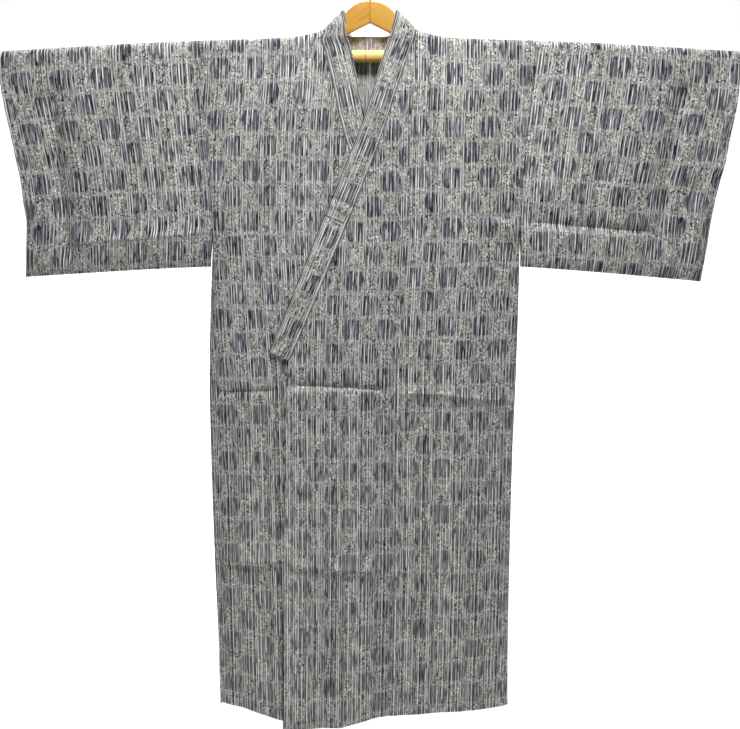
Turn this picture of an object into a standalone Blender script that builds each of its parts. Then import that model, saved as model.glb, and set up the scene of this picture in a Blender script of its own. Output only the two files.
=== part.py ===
"""A cotton yukata robe hung on a wooden hanger, as one rigid part.

Metres, +Z up, +X to the viewer's right, the robe's front faces -Y.
The origin is the inside top of the hanger's hook, where a rail carries it.
"""
import math

import bmesh
import bpy
from mathutils import Vector

# Driving sizes of the cloth
CLOTH = 0.0012
COLLAR_CLOTH = 0.0024
WRAP_CLOTH = 0.0010
SEAM_GAP = 0.0004
TIP_WIDTH = 0.0023
LIP = CLOTH / 2 + 0.00016

# Driving sizes of the hanging shape
FOLD_RADIUS = 0.0145
FRONT_DEPTH = 0.0165
BACK_DEPTH = 0.0155
OVERLAP_DEPTH = 0.0070
SIDE_ROUND = 0.045
SLEEVE_END_ROUND = 0.030
SHOULDER_SIDE_X = 0.320
SLEEVE_TIP_X = 0.700
NECK_GAP = 0.0012
FOLD_END_ANGLE = 87.2
BACK_NECK_RISE = Vector((0.0, 0.0006, 0.0018))
BACK_NECK_X = 0.052
CENTRE_BACK_SHIFT = -0.014
ARMHOLE_END = -0.475
CUFF_OPENING_END = -0.395
CLOSE_RUN = 0.070
FOLD_BLEND = 0.080
SWAY_START = -0.200
SWAY_RUN = 1.200
SWAY_DEPTH = 0.0036
SLEEVE_DROP = 0.428
SLEEVE_BODY_GAP = 0.0018
SLEEVE_BODY_RUN = 0.028
BACK_HEM = -1.470
HEM_START = -1.160
COLLAR_END = -0.7435
COLLAR_WRAP_END = -0.4790

LEFT = -1
RIGHT = 1
SLEEVE_SAG = {LEFT: 0.0, RIGHT: 0.009}

# Shoulder line: distance from the centre, height
SHOULDER = (
    (0.000, -0.1120), (0.086, -0.1120), (0.105, -0.1185), (0.130, -0.1240),
    (0.170, -0.1280), (0.320, -0.1330), (0.460, -0.1390), (0.700, -0.1530),
)
# Armhole and side seam: height, distance on the left, distance on the right
SIDE_SEAM = (
    (-0.133, 0.3190, 0.3190), (-0.240, 0.3150, 0.3060), (-0.356, 0.3090, 0.2950),
    (-0.479, 0.3030, 0.2900), (-0.560, 0.3080, 0.2910), (-0.755, 0.3170, 0.2890),
    (-0.940, 0.3180, 0.2850), (-1.160, 0.3150, 0.2835), (-1.320, 0.3110, 0.2830),
    (-1.530, 0.3100, 0.2860),
)
# Cuff edge: drop below the shoulder fold, distance on the left, distance on the right
CUFF = (
    (0.000, 0.7000, 0.6990), (0.055, 0.6995, 0.6990), (0.105, 0.6925, 0.6950),
    (0.155, 0.6840, 0.6860), (0.205, 0.6755, 0.6790), (0.240, 0.6695, 0.6700),
    (0.280, 0.6665, 0.6620), (0.320, 0.6650, 0.6590), (0.360, 0.6675, 0.6550),
    (0.430, 0.6720, 0.6450),
)
# Seam between body and front overlap: height, x of the left seam, x of the right seam
OVERLAP_SEAM = (
    (-0.112, -0.0830, 0.0826), (-0.194, -0.0860, 0.0830), (-0.290, -0.1000, 0.0780),
    (-0.420, -0.1080, 0.0755), (-0.500, -0.1080, 0.0740), (-0.665, -0.0960, 0.0585),
    (-0.800, -0.0850, 0.0512), (-1.150, -0.0780, 0.0464), (-1.530, -0.0750, 0.0360),
)
# Collar seam, then the free front edge: height, x of the under front, x of the over front
FRONT_LINE = (
    (-0.112, -0.0930, 0.0870), (-0.130, -0.0895, 0.0825), (-0.200, -0.0735, 0.0580),
    (-0.300, -0.0515, 0.0255), (-0.400, -0.0165, -0.0125), (-0.500, 0.0235, -0.0535),
    (-0.600, 0.0660, -0.0955), (-0.700, 0.1105, -0.1385), (-0.7435, 0.1310, -0.1588),
    (-0.800, 0.1370, -0.1633), (-1.150, 0.1480, -0.1734), (-1.530, 0.1560, -0.1800),
)
# Collar band: height, width of the under band, of the over band, lean of each towards the viewer
BAND = (
    (-0.112, 0.0465, 0.0465, 0.42, 0.42), (-0.160, 0.0470, 0.0450, 0.12, 0.30),
    (-0.250, 0.0465, 0.0430, 0.00, 0.34), (-0.380, 0.0465, 0.0440, 0.00, 0.12),
    (-0.500, 0.0465, 0.0470, 0.00, 0.00), (-0.7435, 0.0450, 0.0435, 0.00, 0.00),
)
# Neck edge over the shoulder: fold angle from the front, distance from the centre,
# then the band's direction inward, back and up
NECK_TURN = (
    (60, 0.0862, 0.800, -0.330, 0.500), (30, 0.0862, 0.740, -0.120, 0.660),
    (0, 0.0850, 0.710, 0.060, 0.700), (-25, 0.0805, 0.630, 0.280, 0.720),
    (-50, 0.0725, 0.480, 0.560, 0.660), (-75, 0.0600, 0.320, 0.800, 0.480),
)
# Band along the back neck: share of the way to the centre, direction inward, back and up
BACK_TURN = (
    (0.00, 0.240, 0.920, 0.200), (0.33, 0.100, 0.970, -0.160), (0.67, 0.030, 0.900, -0.430),
    (1.00, 0.000, 0.840, -0.540),
)
# Hem of the under front, then of the over front: x, height
UNDER_HEM = (
    (-0.320, -1.4590), (-0.290, -1.4645), (-0.265, -1.4690), (-0.240, -1.4785),
    (-0.206, -1.4906), (-0.170, -1.4990), (-0.050, -1.4840), (0.050, -1.4700), (0.160, -1.4620),
)
OVER_HEM = (
    (-0.190, -1.5225), (-0.120, -1.5160), (-0.060, -1.5105), (-0.040, -1.5050),
    (-0.008, -1.4965), (0.020, -1.4880), (0.060, -1.4850), (0.100, -1.4830),
    (0.144, -1.4785), (0.206, -1.4740), (0.300, -1.4690),
)
# Largest folds of the front: first end x and height, last end x and height, rise, half width
FRONT_FOLDS = (
    (-0.122, -0.190, -0.300, -0.455, 0.0030, 0.030),
    (-0.195, -0.395, -0.255, -0.610, -0.0030, 0.024),
    (0.190, -0.455, 0.290, -0.480, 0.0030, 0.024),
    (-0.310, -0.812, 0.040, -0.812, 0.0028, 0.026),
    (0.060, -0.812, 0.285, -0.826, 0.0026, 0.026),
    (-0.310, -1.145, 0.020, -1.160, 0.0026, 0.026),
    (0.310, -0.476, 0.580, -0.490, 0.0045, 0.026),
    (-0.590, -0.515, -0.320, -0.496, 0.0030, 0.026),
    (-0.615, -0.230, -0.575, -0.540, -0.0026, 0.024),
    (0.605, -0.220, 0.555, -0.530, -0.0026, 0.024),
    (0.500, -0.290, 0.330, -0.450, 0.0030, 0.030),
)
# Largest folds of the back, in the same columns
BACK_FOLDS = (
    (-0.300, -0.812, 0.285, -0.820, -0.0026, 0.026),
    (-0.300, -1.150, 0.285, -1.158, -0.0024, 0.026),
    (-0.120, -0.200, -0.290, -0.450, -0.0028, 0.030),
    (0.120, -0.200, 0.280, -0.450, -0.0028, 0.030),
    (0.320, -0.480, 0.600, -0.490, -0.0026, 0.026),
    (-0.600, -0.500, -0.320, -0.490, -0.0026, 0.026),
)

# Rows of the cloth, as heights at the armhole side of the shoulder
SLEEVE_LEVELS = (
    -0.1475, -0.170, -0.197, -0.226, -0.256, -0.288, -0.320, -0.352, -0.384, -0.416,
    -0.448, -0.479, -0.507, -0.530, -0.546,
)
SLEEVE_LAST_LEVELS = (-0.5545, -0.5590)
SLEEVE_BOTTOM = -0.561
MIDDLE_LEVELS = (-0.585, -0.625, -0.664, -0.704, -0.7435)
LOWER_ROWS = 13
LOWER_STEP = 0.0563
BACK_LOWER_ROWS = 8
BACK_LOWER_STEP = 0.0908
HEM_LEVEL = MIDDLE_LEVELS[-1] - LOWER_ROWS * LOWER_STEP

# Shares of a panel's width at which its columns stand
BODY_COLUMNS = (0.0, 0.016, 0.055, 0.115, 0.20, 0.36, 0.52, 0.68, 0.84, 1.0)
BACK_NECK_COLUMNS = (0.33, 0.67, 1.0)
OVERLAP_COLUMNS = (0.0, 0.25, 0.50, 0.75, 1.0)
SLEEVE_COLUMNS = (0.0, 0.008, 0.032, 0.085, 0.24, 0.42, 0.60, 0.78, 0.915, 0.968, 0.992, 1.0)
BAND_COLUMNS = (0.0, 0.08, 0.54, 1.0)

# Driving sizes of the hanger
ARM_HALF_DEPTH = 0.0080
ARM_EDGE_ROUND = 0.0025
DOME_TOP = -0.060
DOME_RADIUS = 0.058
DOME_CORNER_X = 0.052
DOME_STEPS = 9
ROD_RADIUS = 0.0115
ROD_HEIGHT = -0.1616
ROD_HALF_LENGTH = 0.6320
ROD_JOINT_X = -0.008
ROD_GROOVE = 0.0006
ROD_CHAMFER = 0.0015
ROD_SIDES = 24
HOOK_WIRE = 0.0018
HOOK_RADIUS = 0.020
HOOK_FILLET = 0.0086
HOOK_START_ANGLE = -72.5
HOOK_END_ANGLE = 205.0
HOOK_FOOT = -0.084
HOOK_HOLE_DEPTH = 0.026
HOOK_SIDES = 10
HOOK_STEPS = 18
FIT_GAP = 0.0003
# Lower outline of the hanger's arm, from the centre out and back along its top: x, height
ARM_OUTLINE = (
    (0.0000, -0.1011), (0.0450, -0.1227), (0.0980, -0.1575), (0.1400, -0.1575),
    (0.1470, -0.1530), (0.1460, -0.1470), (0.1150, -0.1385), (0.0860, -0.1245), (0.0700, -0.1130),
)


def clamp(value):
    return max(0.0, min(1.0, value))


def smooth(value):
    value = clamp(value)
    return value * value * (3 - 2 * value)


def curve(table, key, column=1):
    """Smooth value of one column of a table at a key, held past both ends."""
    rows = sorted(table)
    if key <= rows[0][0]:
        return rows[0][column]
    if key >= rows[-1][0]:
        return rows[-1][column]
    last = len(rows) - 1
    index = max(i for i in range(last) if rows[i][0] <= key)

    def slope(i):
        before, after = rows[max(i - 1, 0)], rows[min(i + 1, last)]
        return (after[column] - before[column]) / (after[0] - before[0])

    start, end = rows[index], rows[index + 1]
    span = end[0] - start[0]
    t = (key - start[0]) / span
    return (
        (2 * t ** 3 - 3 * t ** 2 + 1) * start[column]
        + (t ** 3 - 2 * t ** 2 + t) * span * slope(index)
        + (-2 * t ** 3 + 3 * t ** 2) * end[column]
        + (t ** 3 - t ** 2) * span * slope(index + 1)
    )


def shoulder(x):
    return curve(SHOULDER, abs(x))


def side_column(side):
    return 1 if side == LEFT else 2


def side_seam(side, z):
    return side * curve(SIDE_SEAM, z, side_column(side))


def front_line(side, z):
    return curve(FRONT_LINE, z, side_column(side))


def overlap_seam(side, z):
    """The seam where body and front overlap meet; it starts at the overlap's narrow tip."""
    seam = curve(OVERLAP_SEAM, z, side_column(side))
    tip = front_line(side, z) + side * TIP_WIDTH
    return side * max(side * seam, side * tip)


def fold_rise(folds, x, z):
    """Sum of the long soft folds at a point, each fading at its two ends."""
    rise = 0.0
    for x0, z0, x1, z1, height, width in folds:
        along = Vector((x1 - x0, z1 - z0))
        place = Vector((x - x0, z - z0))
        share = place.dot(along) / along.length_squared
        across = (place - along * share).length
        fade = smooth(share * 8 + 0.5) * smooth((1 - share) * 8 + 0.5)
        rise += height * fade * math.exp(-(across / width) ** 2)
    return rise


def sway(x, z, phase):
    """Long upright waves of the hanging cloth, stronger towards the hem."""
    strength = SWAY_DEPTH * smooth((SWAY_START - z) / SWAY_RUN)
    return strength * (
        0.6 * math.cos(2 * math.pi * x / 0.21 + phase)
        + 0.4 * math.cos(2 * math.pi * x / 0.127 - 1.1 + 1.5 * z)
    )


def front_depth(side, x, z):
    """Distance of a front layer's middle from the plane of the rod."""
    below = smooth((shoulder(x) - FOLD_RADIUS - z) / FOLD_BLEND)
    depth = FOLD_RADIUS + (FRONT_DEPTH - FOLD_RADIUS) * below
    depth += sway(x, z, 0.6) + fold_rise(FRONT_FOLDS, x, z) * below
    if side == RIGHT:
        depth += OVERLAP_DEPTH * smooth((0.285 - x) / 0.13) * smooth((-0.145 - z) / 0.10)
    return depth


def back_depth(x, z):
    below = smooth((shoulder(x) - FOLD_RADIUS - z) / FOLD_BLEND)
    depth = FOLD_RADIUS + (BACK_DEPTH - FOLD_RADIUS) * below
    return depth + sway(x, z, 2.4) - fold_rise(BACK_FOLDS, x, z) * below


def rounded(distance, run):
    """Share of the full depth at a distance from a closed edge."""
    return math.sqrt(1 - (1 - clamp(distance / run)) ** 2)


def closed(depth, share):
    return LIP + (depth - LIP) * share


def row_height(x, level, hem):
    """Height of one row of cloth at x, bent to the shoulder line and to the hem."""
    shift = shoulder(x) - shoulder(SHOULDER_SIDE_X)
    height = level + shift * smooth((level + 0.30) / 0.15)
    if level < HEM_START:
        height = HEM_START + (hem(x) - HEM_START) * (HEM_START - level) / (HEM_START - HEM_LEVEL)
    return height


def front_hem(side):
    table = UNDER_HEM if side == LEFT else OVER_HEM
    return lambda x: curve(table, x)


def edge_place(side, level, edge):
    """Place of a row on an upright edge that is given as x for each height."""
    x = edge(side, level)
    for _ in range(4):
        z = row_height(x, level, front_hem(side))
        x = edge(side, z)
    return x, z


def side_share(side, x, z):
    """How far the side seam pulls front and back together at a point."""
    pull = smooth((ARMHOLE_END - z) / CLOSE_RUN)
    return 1 - pull * (1 - rounded(abs(side_seam(side, z) - x), SIDE_ROUND))


def front_point(side, share, level):
    inner, _ = edge_place(side, level, overlap_seam)
    inner += side * SEAM_GAP
    outer = side_seam(side, row_height(side * SHOULDER_SIDE_X, level, front_hem(side)))
    x = outer + (inner - outer) * share
    z = row_height(x, level, front_hem(side))
    depth = closed(front_depth(side, x, z), side_share(side, x, z))
    return Vector((x, -depth, z))


def back_point(side, share, level):
    """A share over 1 goes on from the neck's side to the centre back seam."""
    outer = side_seam(side, level)
    centre = CENTRE_BACK_SHIFT * smooth((-0.15 - level) / 0.65) + side * SEAM_GAP / 2
    inner = side * BACK_NECK_X
    x = outer + (inner - outer) * min(share, 1.0)
    if share > 1:
        x = inner + (centre - inner) * (share - 1)
    z = row_height(x, level, lambda _: BACK_HEM)
    depth = closed(back_depth(x, z), side_share(side, x, z))
    return Vector((x, depth, z))


def fold_point(x, angle):
    """A point of the shoulder fold, which passes over the hanger."""
    turn = math.radians(angle)
    drop = FOLD_RADIUS * (1 - math.cos(turn))
    return Vector((x, -FOLD_RADIUS * math.sin(turn), shoulder(x) - drop))


def grid_normals(points, ring=False):
    """Unit normals of a grid of points, one for each point that exists."""
    rows, columns = len(points), len(points[0])

    def at(i, j):
        if ring:
            i %= rows
        if 0 <= i < rows and 0 <= j < columns:
            return points[i][j]
        return None

    normals = []
    for i in range(rows):
        line = []
        for j in range(columns):
            if points[i][j] is None:
                line.append(None)
                continue
            here = points[i][j]
            along = (at(i + 1, j) or here) - (at(i - 1, j) or here)
            across = (at(i, j + 1) or here) - (at(i, j - 1) or here)
            line.append(across.cross(along).normalized())
        normals.append(line)
    return normals


def wall(name, points, thickness, material, ring=False, turned=()):
    """A closed wall of even thickness whose middle is the grid of points.

    Each cell is two triangles; in the turned columns they share the other diagonal.
    """
    normals = grid_normals(points, ring)
    rows, columns = len(points), len(points[0])
    mesh = bmesh.new()
    skins = []
    for offset in (thickness / 2, -thickness / 2):
        skins.append([
            [None if p is None else mesh.verts.new(p + n * offset) for p, n in zip(line, bends)]
            for line, bends in zip(points, normals)
        ])

    def corners(i, j):
        after = (i + 1) % rows
        return ((i, j), (after, j), (after, j + 1), (i, j + 1))

    edges = {}
    for i in range(rows if ring else rows - 1):
        for j in range(columns - 1):
            cell = corners(i, j)
            if any(points[a][b] is None for a, b in cell):
                continue
            shift = 1 if j in turned else 0
            one, two, three, four = cell[shift:] + cell[:shift]
            for part in ((one, two, three), (one, three, four)):
                mesh.faces.new([skins[0][a][b] for a, b in part])
                mesh.faces.new([skins[1][a][b] for a, b in reversed(part)])
            for k in range(4):
                edge = (cell[k], cell[(k + 1) % 4])
                edges[edge] = edges.get(edge, 0) + 1
    for (start, end) in edges:
        if (end, start) in edges:
            continue
        mesh.faces.new((
            skins[0][end[0]][end[1]], skins[0][start[0]][start[1]],
            skins[1][start[0]][start[1]], skins[1][end[0]][end[1]],
        ))
    bmesh.ops.recalc_face_normals(mesh, faces=mesh.faces[:])
    return finish(name, mesh, material)


def finish(name, mesh, material):
    data = bpy.data.meshes.new(name)
    mesh.to_mesh(data)
    mesh.free()
    data.shade_smooth()
    data.set_sharp_from_angle(angle=math.radians(40))
    data.materials.append(material)
    thing = bpy.data.objects.new(name, data)
    bpy.context.scene.collection.objects.link(thing)
    return thing


def skin(name, rings, material):
    """A closed solid over a list of rings, with a flat cap at each end."""
    mesh = bmesh.new()
    loops = [[mesh.verts.new(point) for point in ring] for ring in rings]
    count = len(loops[0])
    for low, high in zip(loops, loops[1:]):
        for k in range(count):
            mesh.faces.new((low[k], low[(k + 1) % count], high[(k + 1) % count], high[k]))
    mesh.faces.new(loops[0][::-1])
    mesh.faces.new(loops[-1])
    bmesh.ops.recalc_face_normals(mesh, faces=mesh.faces[:])
    return finish(name, mesh, material)


def plain_material(name, colour, roughness, metallic=0.0):
    material = bpy.data.materials.new(name)
    material.use_nodes = True
    shader = material.node_tree.nodes["Principled BSDF"]
    shader.inputs["Base Color"].default_value = (*colour, 1.0)
    shader.inputs["Roughness"].default_value = roughness
    shader.inputs["Metallic"].default_value = metallic
    return material


def upper_levels():
    return list(SLEEVE_LEVELS) + list(MIDDLE_LEVELS)


def front_levels():
    lower = [MIDDLE_LEVELS[-1] - LOWER_STEP * (k + 1) for k in range(LOWER_ROWS)]
    return upper_levels() + lower


def back_levels():
    lower = [MIDDLE_LEVELS[-1] - BACK_LOWER_STEP * (k + 1) for k in range(BACK_LOWER_ROWS)]
    lower[-1] = HEM_LEVEL
    return upper_levels() + lower


def body_front(name, side, material):
    """One body front, from its hem up to the shoulder fold."""
    rows = []
    for level in reversed(front_levels()):
        rows.append([front_point(side, share, level) for share in BODY_COLUMNS])
    return wall(name, rows, CLOTH, material)


def body_shoulder(name, side, material):
    """The fold of one body length over the hanger, between the neck and the armhole."""
    front_edge, _ = edge_place(side, SLEEVE_LEVELS[0], overlap_seam)
    neck_edge = [(90, abs(front_edge) + SEAM_GAP)] + [row[:2] for row in NECK_TURN]
    neck_edge.append((-90, BACK_NECK_X))
    low, high = [abs(side_seam(side, z)) for z in (SLEEVE_LEVELS[0], shoulder(SHOULDER_SIDE_X))]
    arm_edge = [(90, low)] + [(row[0], high) for row in NECK_TURN] + [(-90, low)]
    rows = []
    for angle in [FOLD_END_ANGLE] + [row[0] for row in NECK_TURN] + [-FOLD_END_ANGLE]:
        inner, outer = side * curve(neck_edge, angle), side * curve(arm_edge, angle)
        rows.append([
            fold_point(outer + (inner - outer) * share, angle) for share in BODY_COLUMNS
        ])
    return wall(name, rows, CLOTH, material)


def body_back(name, side, material):
    """One body back, from the shoulder fold down to its hem and in to the centre back."""
    shares = list(BODY_COLUMNS) + [1 + share for share in BACK_NECK_COLUMNS]
    rows = []
    for level in back_levels():
        rows.append([back_point(side, share, level) for share in shares])
    return wall(name, rows, CLOTH, material)


def overlap(name, side, material):
    """The front overlap, between its seam on the body and the collar or the free edge."""
    rows = []
    for level in front_levels():
        seam, _ = edge_place(side, level, overlap_seam)
        edge, _ = edge_place(side, level, front_line)
        edge += side * SEAM_GAP
        row = []
        for share in OVERLAP_COLUMNS:
            x = seam + (edge - seam) * share
            z = row_height(x, level, front_hem(side))
            row.append(Vector((x, -front_depth(side, x, z), z)))
        rows.append(row)
    return wall(name, rows, CLOTH, material)


def sleeve_point(side, share, level, face):
    """A point of the sleeve: share from armhole to cuff, face -1 in front and 1 behind."""
    fallen = (SLEEVE_LEVELS[0] - level) / SLEEVE_DROP
    top_x = SHOULDER_SIDE_X + (SLEEVE_TIP_X - SHOULDER_SIDE_X) * share
    z = level + shoulder(top_x) - shoulder(SHOULDER_SIDE_X) - SLEEVE_SAG[side] * share * fallen
    apart = SEAM_GAP + SLEEVE_BODY_GAP * smooth((ARMHOLE_END - level) / SLEEVE_BODY_RUN)
    inner = side_seam(side, level) + side * apart
    cuff = side * curve(CUFF, shoulder(SHOULDER_SIDE_X) - level, side_column(side))
    x = inner + (cuff - inner) * share
    depth = front_depth(side, x, z) if face < 0 else back_depth(x, z)
    inner_pull = smooth((ARMHOLE_END - level) / CLOSE_RUN)
    cuff_pull = smooth((CUFF_OPENING_END - level) / CLOSE_RUN)
    open_share = 1 - inner_pull * (1 - rounded(abs(x - inner), SLEEVE_END_ROUND))
    open_share *= 1 - cuff_pull * (1 - rounded(abs(cuff - x), SLEEVE_END_ROUND))
    open_share *= rounded(level - SLEEVE_BOTTOM, SIDE_ROUND)
    return Vector((x, face * closed(depth, open_share), z))


def sleeve_fold_point(side, share, angle):
    armhole = side_seam(side, shoulder(SHOULDER_SIDE_X)) + side * SEAM_GAP
    cuff = side * curve(CUFF, 0.0, side_column(side))
    x = armhole + (cuff - armhole) * share
    return fold_point(x, angle)


def sleeve(name, side, material):
    """One piece of cloth, folded over the top and round the bottom into a flat tube."""
    levels = SLEEVE_LEVELS + SLEEVE_LAST_LEVELS
    rows = []
    for level in levels:
        rows.append([sleeve_point(side, share, level, -1) for share in SLEEVE_COLUMNS])
    bottom = [sleeve_point(side, share, SLEEVE_BOTTOM, -1) for share in SLEEVE_COLUMNS]
    rows.append([Vector((point.x, 0.0, point.z)) for point in bottom])
    for level in reversed(levels):
        rows.append([sleeve_point(side, share, level, 1) for share in SLEEVE_COLUMNS])
    for angle, *_ in reversed(NECK_TURN):
        rows.append([sleeve_fold_point(side, share, angle) for share in SLEEVE_COLUMNS])
    return wall(name, rows, CLOTH, material, ring=True)


def front_band_stations(side):
    """Stations of the collar on one front, from its end up to the shoulder fold."""
    levels = [level for level in front_levels() if level >= COLLAR_END]
    places = []
    for level in levels:
        x, z = edge_place(side, level, front_line)
        places.append(Vector((x, -front_depth(side, x, z), z)))
    stations = []
    for index, place in enumerate(places):
        above, below = places[max(index - 1, 0)], places[min(index + 1, len(places) - 1)]
        along = (above - below).normalized()
        inward = Vector((-side * along.z, 0.0, side * along.x))
        lean = curve(BAND, place.z, side_column(side) + 2)
        direction = inward * math.sqrt(1 - lean * lean) + Vector((0.0, -lean, 0.0))
        stations.append((place, direction, curve(BAND, place.z, side_column(side))))
    return stations[::-1]


def neck_stations(side):
    """Stations of the collar from one shoulder fold round to the centre back."""
    width = BAND[0][1]
    stations = []
    for angle, edge, inward, back, up in NECK_TURN:
        direction = Vector((-side * inward, back, up)).normalized()
        place = fold_point(side * edge, angle) + direction * NECK_GAP
        stations.append((place, direction, width))
    for share, inward, back, up in BACK_TURN:
        direction = Vector((-side * inward, back, up)).normalized()
        place = fold_point(side * BACK_NECK_X * (1 - share), -90) + BACK_NECK_RISE
        stations.append((place + direction * NECK_GAP, direction, width))
    return stations


def collar_grid():
    left = front_band_stations(LEFT) + neck_stations(LEFT)
    right = front_band_stations(RIGHT) + neck_stations(RIGHT)[:-1]
    stations = left + right[::-1]
    return [
        [place + direction * width * share for share in BAND_COLUMNS]
        for place, direction, width in stations
    ]


def collar_wrap(name, points, material):
    """The short outer collar: it wraps the band's two faces and its free edge."""
    lift = COLLAR_CLOTH / 2 + FIT_GAP + WRAP_CLOTH / 2
    normals = grid_normals(points)
    rows = []
    for line, bends in zip(points, normals):
        if line[0].z < COLLAR_WRAP_END - 0.001:
            continue
        out = (line[-1] - line[0]).normalized()
        covered = list(zip(line, bends))[1:]
        one = [point + bend * lift for point, bend in covered]
        other = [point - bend * lift for point, bend in covered]
        rows.append(one + [line[-1] + out * lift] + other[::-1])
    half = len(BAND_COLUMNS) - 1
    return wall(name, rows, WRAP_CLOTH, material, turned=range(half, 2 * half))


def dome_arc():
    """The round top of the hanger, from its right corner over to its left one."""
    half = math.asin(DOME_CORNER_X / DOME_RADIUS)
    centre = DOME_TOP - DOME_RADIUS
    for step in range(DOME_STEPS + 1):
        turn = half - 2 * half * step / DOME_STEPS
        yield DOME_RADIUS * math.sin(turn), centre + DOME_RADIUS * math.cos(turn)


def cutter(name, start, end, radius, sides):
    """A round bar that only cuts its neighbour."""
    axis = (end - start).normalized()
    across = axis.orthogonal().normalized()
    other = axis.cross(across)
    rings = []
    for centre in (start, end):
        ring = []
        for k in range(sides):
            turn = 2 * math.pi * (k + 0.5) / sides
            ring.append(centre + (across * math.cos(turn) + other * math.sin(turn)) * radius)
        rings.append(ring)
    thing = skin(name, rings, plain_material(name, (0.5, 0.5, 0.5), 0.5))
    thing.hide_render = True
    thing.display_type = "WIRE"
    return thing


def hanger_arms(name, material):
    right = list(ARM_OUTLINE)
    left = [(-x, z) for x, z in reversed(ARM_OUTLINE[1:])]
    outline = right + list(dome_arc()) + left
    mesh = bmesh.new()
    face = mesh.faces.new([mesh.verts.new((x, -ARM_HALF_DEPTH, z)) for x, z in outline])
    grown = bmesh.ops.extrude_face_region(mesh, geom=[face])["geom"]
    moved = [item for item in grown if isinstance(item, bmesh.types.BMVert)]
    bmesh.ops.translate(mesh, verts=moved, vec=(0.0, 2 * ARM_HALF_DEPTH, 0.0))
    bmesh.ops.recalc_face_normals(mesh, faces=mesh.faces[:])
    rims = [edge for edge in mesh.edges if len({round(v.co.y, 5) for v in edge.verts}) == 1]
    bmesh.ops.bevel(mesh, geom=rims, offset=ARM_EDGE_ROUND, segments=1, affect="EDGES")
    thing = finish(name, mesh, material)
    bars = (
        cutter("rod_seat", Vector((-0.2, 0.0, ROD_HEIGHT)), Vector((0.2, 0.0, ROD_HEIGHT)),
               ROD_RADIUS + FIT_GAP, ROD_SIDES),
        cutter("hook_hole", Vector((0.0, 0.0, DOME_TOP - HOOK_HOLE_DEPTH)),
               Vector((0.0, 0.0, DOME_TOP + 0.01)), HOOK_WIRE + FIT_GAP, HOOK_SIDES),
    )
    for bar in bars:
        cut = thing.modifiers.new(bar.name, "BOOLEAN")
        cut.operation = "DIFFERENCE"
        cut.object = bar
    return thing


def hanger_rod(name, material):
    """A round pole in two lengths, with a fine groove where they join."""
    end = ROD_HALF_LENGTH
    profile = (
        (-end, ROD_RADIUS - ROD_CHAMFER), (-end + ROD_CHAMFER, ROD_RADIUS),
        (ROD_JOINT_X - ROD_GROOVE, ROD_RADIUS), (ROD_JOINT_X, ROD_RADIUS - ROD_GROOVE),
        (ROD_JOINT_X + ROD_GROOVE, ROD_RADIUS), (end - ROD_CHAMFER, ROD_RADIUS),
        (end, ROD_RADIUS - ROD_CHAMFER),
    )
    rings = []
    for x, radius in profile:
        turns = [2 * math.pi * (k + 0.5) / ROD_SIDES for k in range(ROD_SIDES)]
        rings.append([
            Vector((x, radius * math.cos(turn), ROD_HEIGHT + radius * math.sin(turn)))
            for turn in turns
        ])
    return skin(name, rings, material)


def hook_path():
    """Middle of the hook's wire: a stem, a small bend and a large open round."""
    centre = HOOK_WIRE - HOOK_RADIUS
    start = math.radians(HOOK_START_ANGLE)
    join = Vector((HOOK_RADIUS * math.cos(start), 0.0, centre + HOOK_RADIUS * math.sin(start)))
    turn = math.radians(-HOOK_START_ANGLE)
    foot = join.z - HOOK_FILLET * math.sin(turn)
    points = [Vector((0.0, 0.0, HOOK_FOOT)), Vector((0.0, 0.0, foot))]
    for step in (1, 2, 3):
        bend = turn * step / 4
        points.append(Vector((
            HOOK_FILLET * (1 - math.cos(bend)), 0.0, foot + HOOK_FILLET * math.sin(bend))))
    for step in range(HOOK_STEPS + 1):
        angle = math.radians(
            HOOK_START_ANGLE + (HOOK_END_ANGLE - HOOK_START_ANGLE) * step / HOOK_STEPS)
        points.append(Vector((
            HOOK_RADIUS * math.cos(angle), 0.0, centre + HOOK_RADIUS * math.sin(angle))))
    return points


def hanger_hook(name, material):
    points = hook_path()
    rings = []
    for index, point in enumerate(points):
        before, after = points[max(index - 1, 0)], points[min(index + 1, len(points) - 1)]
        along = (after - before).normalized()
        across = Vector((0.0, 1.0, 0.0))
        other = along.cross(across)
        rings.append([
            point + (across * math.cos(turn) + other * math.sin(turn)) * HOOK_WIRE
            for turn in (2 * math.pi * (k + 0.5) / HOOK_SIDES for k in range(HOOK_SIDES))
        ])
    return skin(name, rings, material)


def main():
    for thing in list(bpy.data.objects):
        bpy.data.objects.remove(thing)
    cotton = plain_material("cotton", (0.30, 0.30, 0.33), 0.90)
    arm_wood = plain_material("arm_wood", (0.72, 0.42, 0.14), 0.45)
    rod_wood = plain_material("rod_wood", (0.86, 0.62, 0.27), 0.40)
    steel = plain_material("steel", (0.62, 0.62, 0.64), 0.28, 1.0)

    body_front("body_front_left", LEFT, cotton)
    body_front("body_front_right", RIGHT, cotton)
    body_shoulder("body_shoulder_left", LEFT, cotton)
    body_shoulder("body_shoulder_right", RIGHT, cotton)
    body_back("body_back_left", LEFT, cotton)
    body_back("body_back_right", RIGHT, cotton)
    overlap("overlap_left", LEFT, cotton)
    overlap("overlap_right", RIGHT, cotton)
    sleeve("sleeve_left", LEFT, cotton)
    sleeve("sleeve_right", RIGHT, cotton)
    band = collar_grid()
    wall("collar", band, COLLAR_CLOTH, cotton)
    collar_wrap("outer_collar", band, cotton)
    hanger_arms("hanger_arms", arm_wood)
    hanger_rod("hanger_rod", rod_wood)
    hanger_hook("hanger_hook", steel)


main()
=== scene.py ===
"""The looks of a cotton yukata robe on a wooden hanger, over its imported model.

Metres, +Z up, +X to the viewer's right, the robe's front faces -Y.
The cloth follows the same seams, edges and folds as the solids, on much finer grids.
"""
import math

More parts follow.
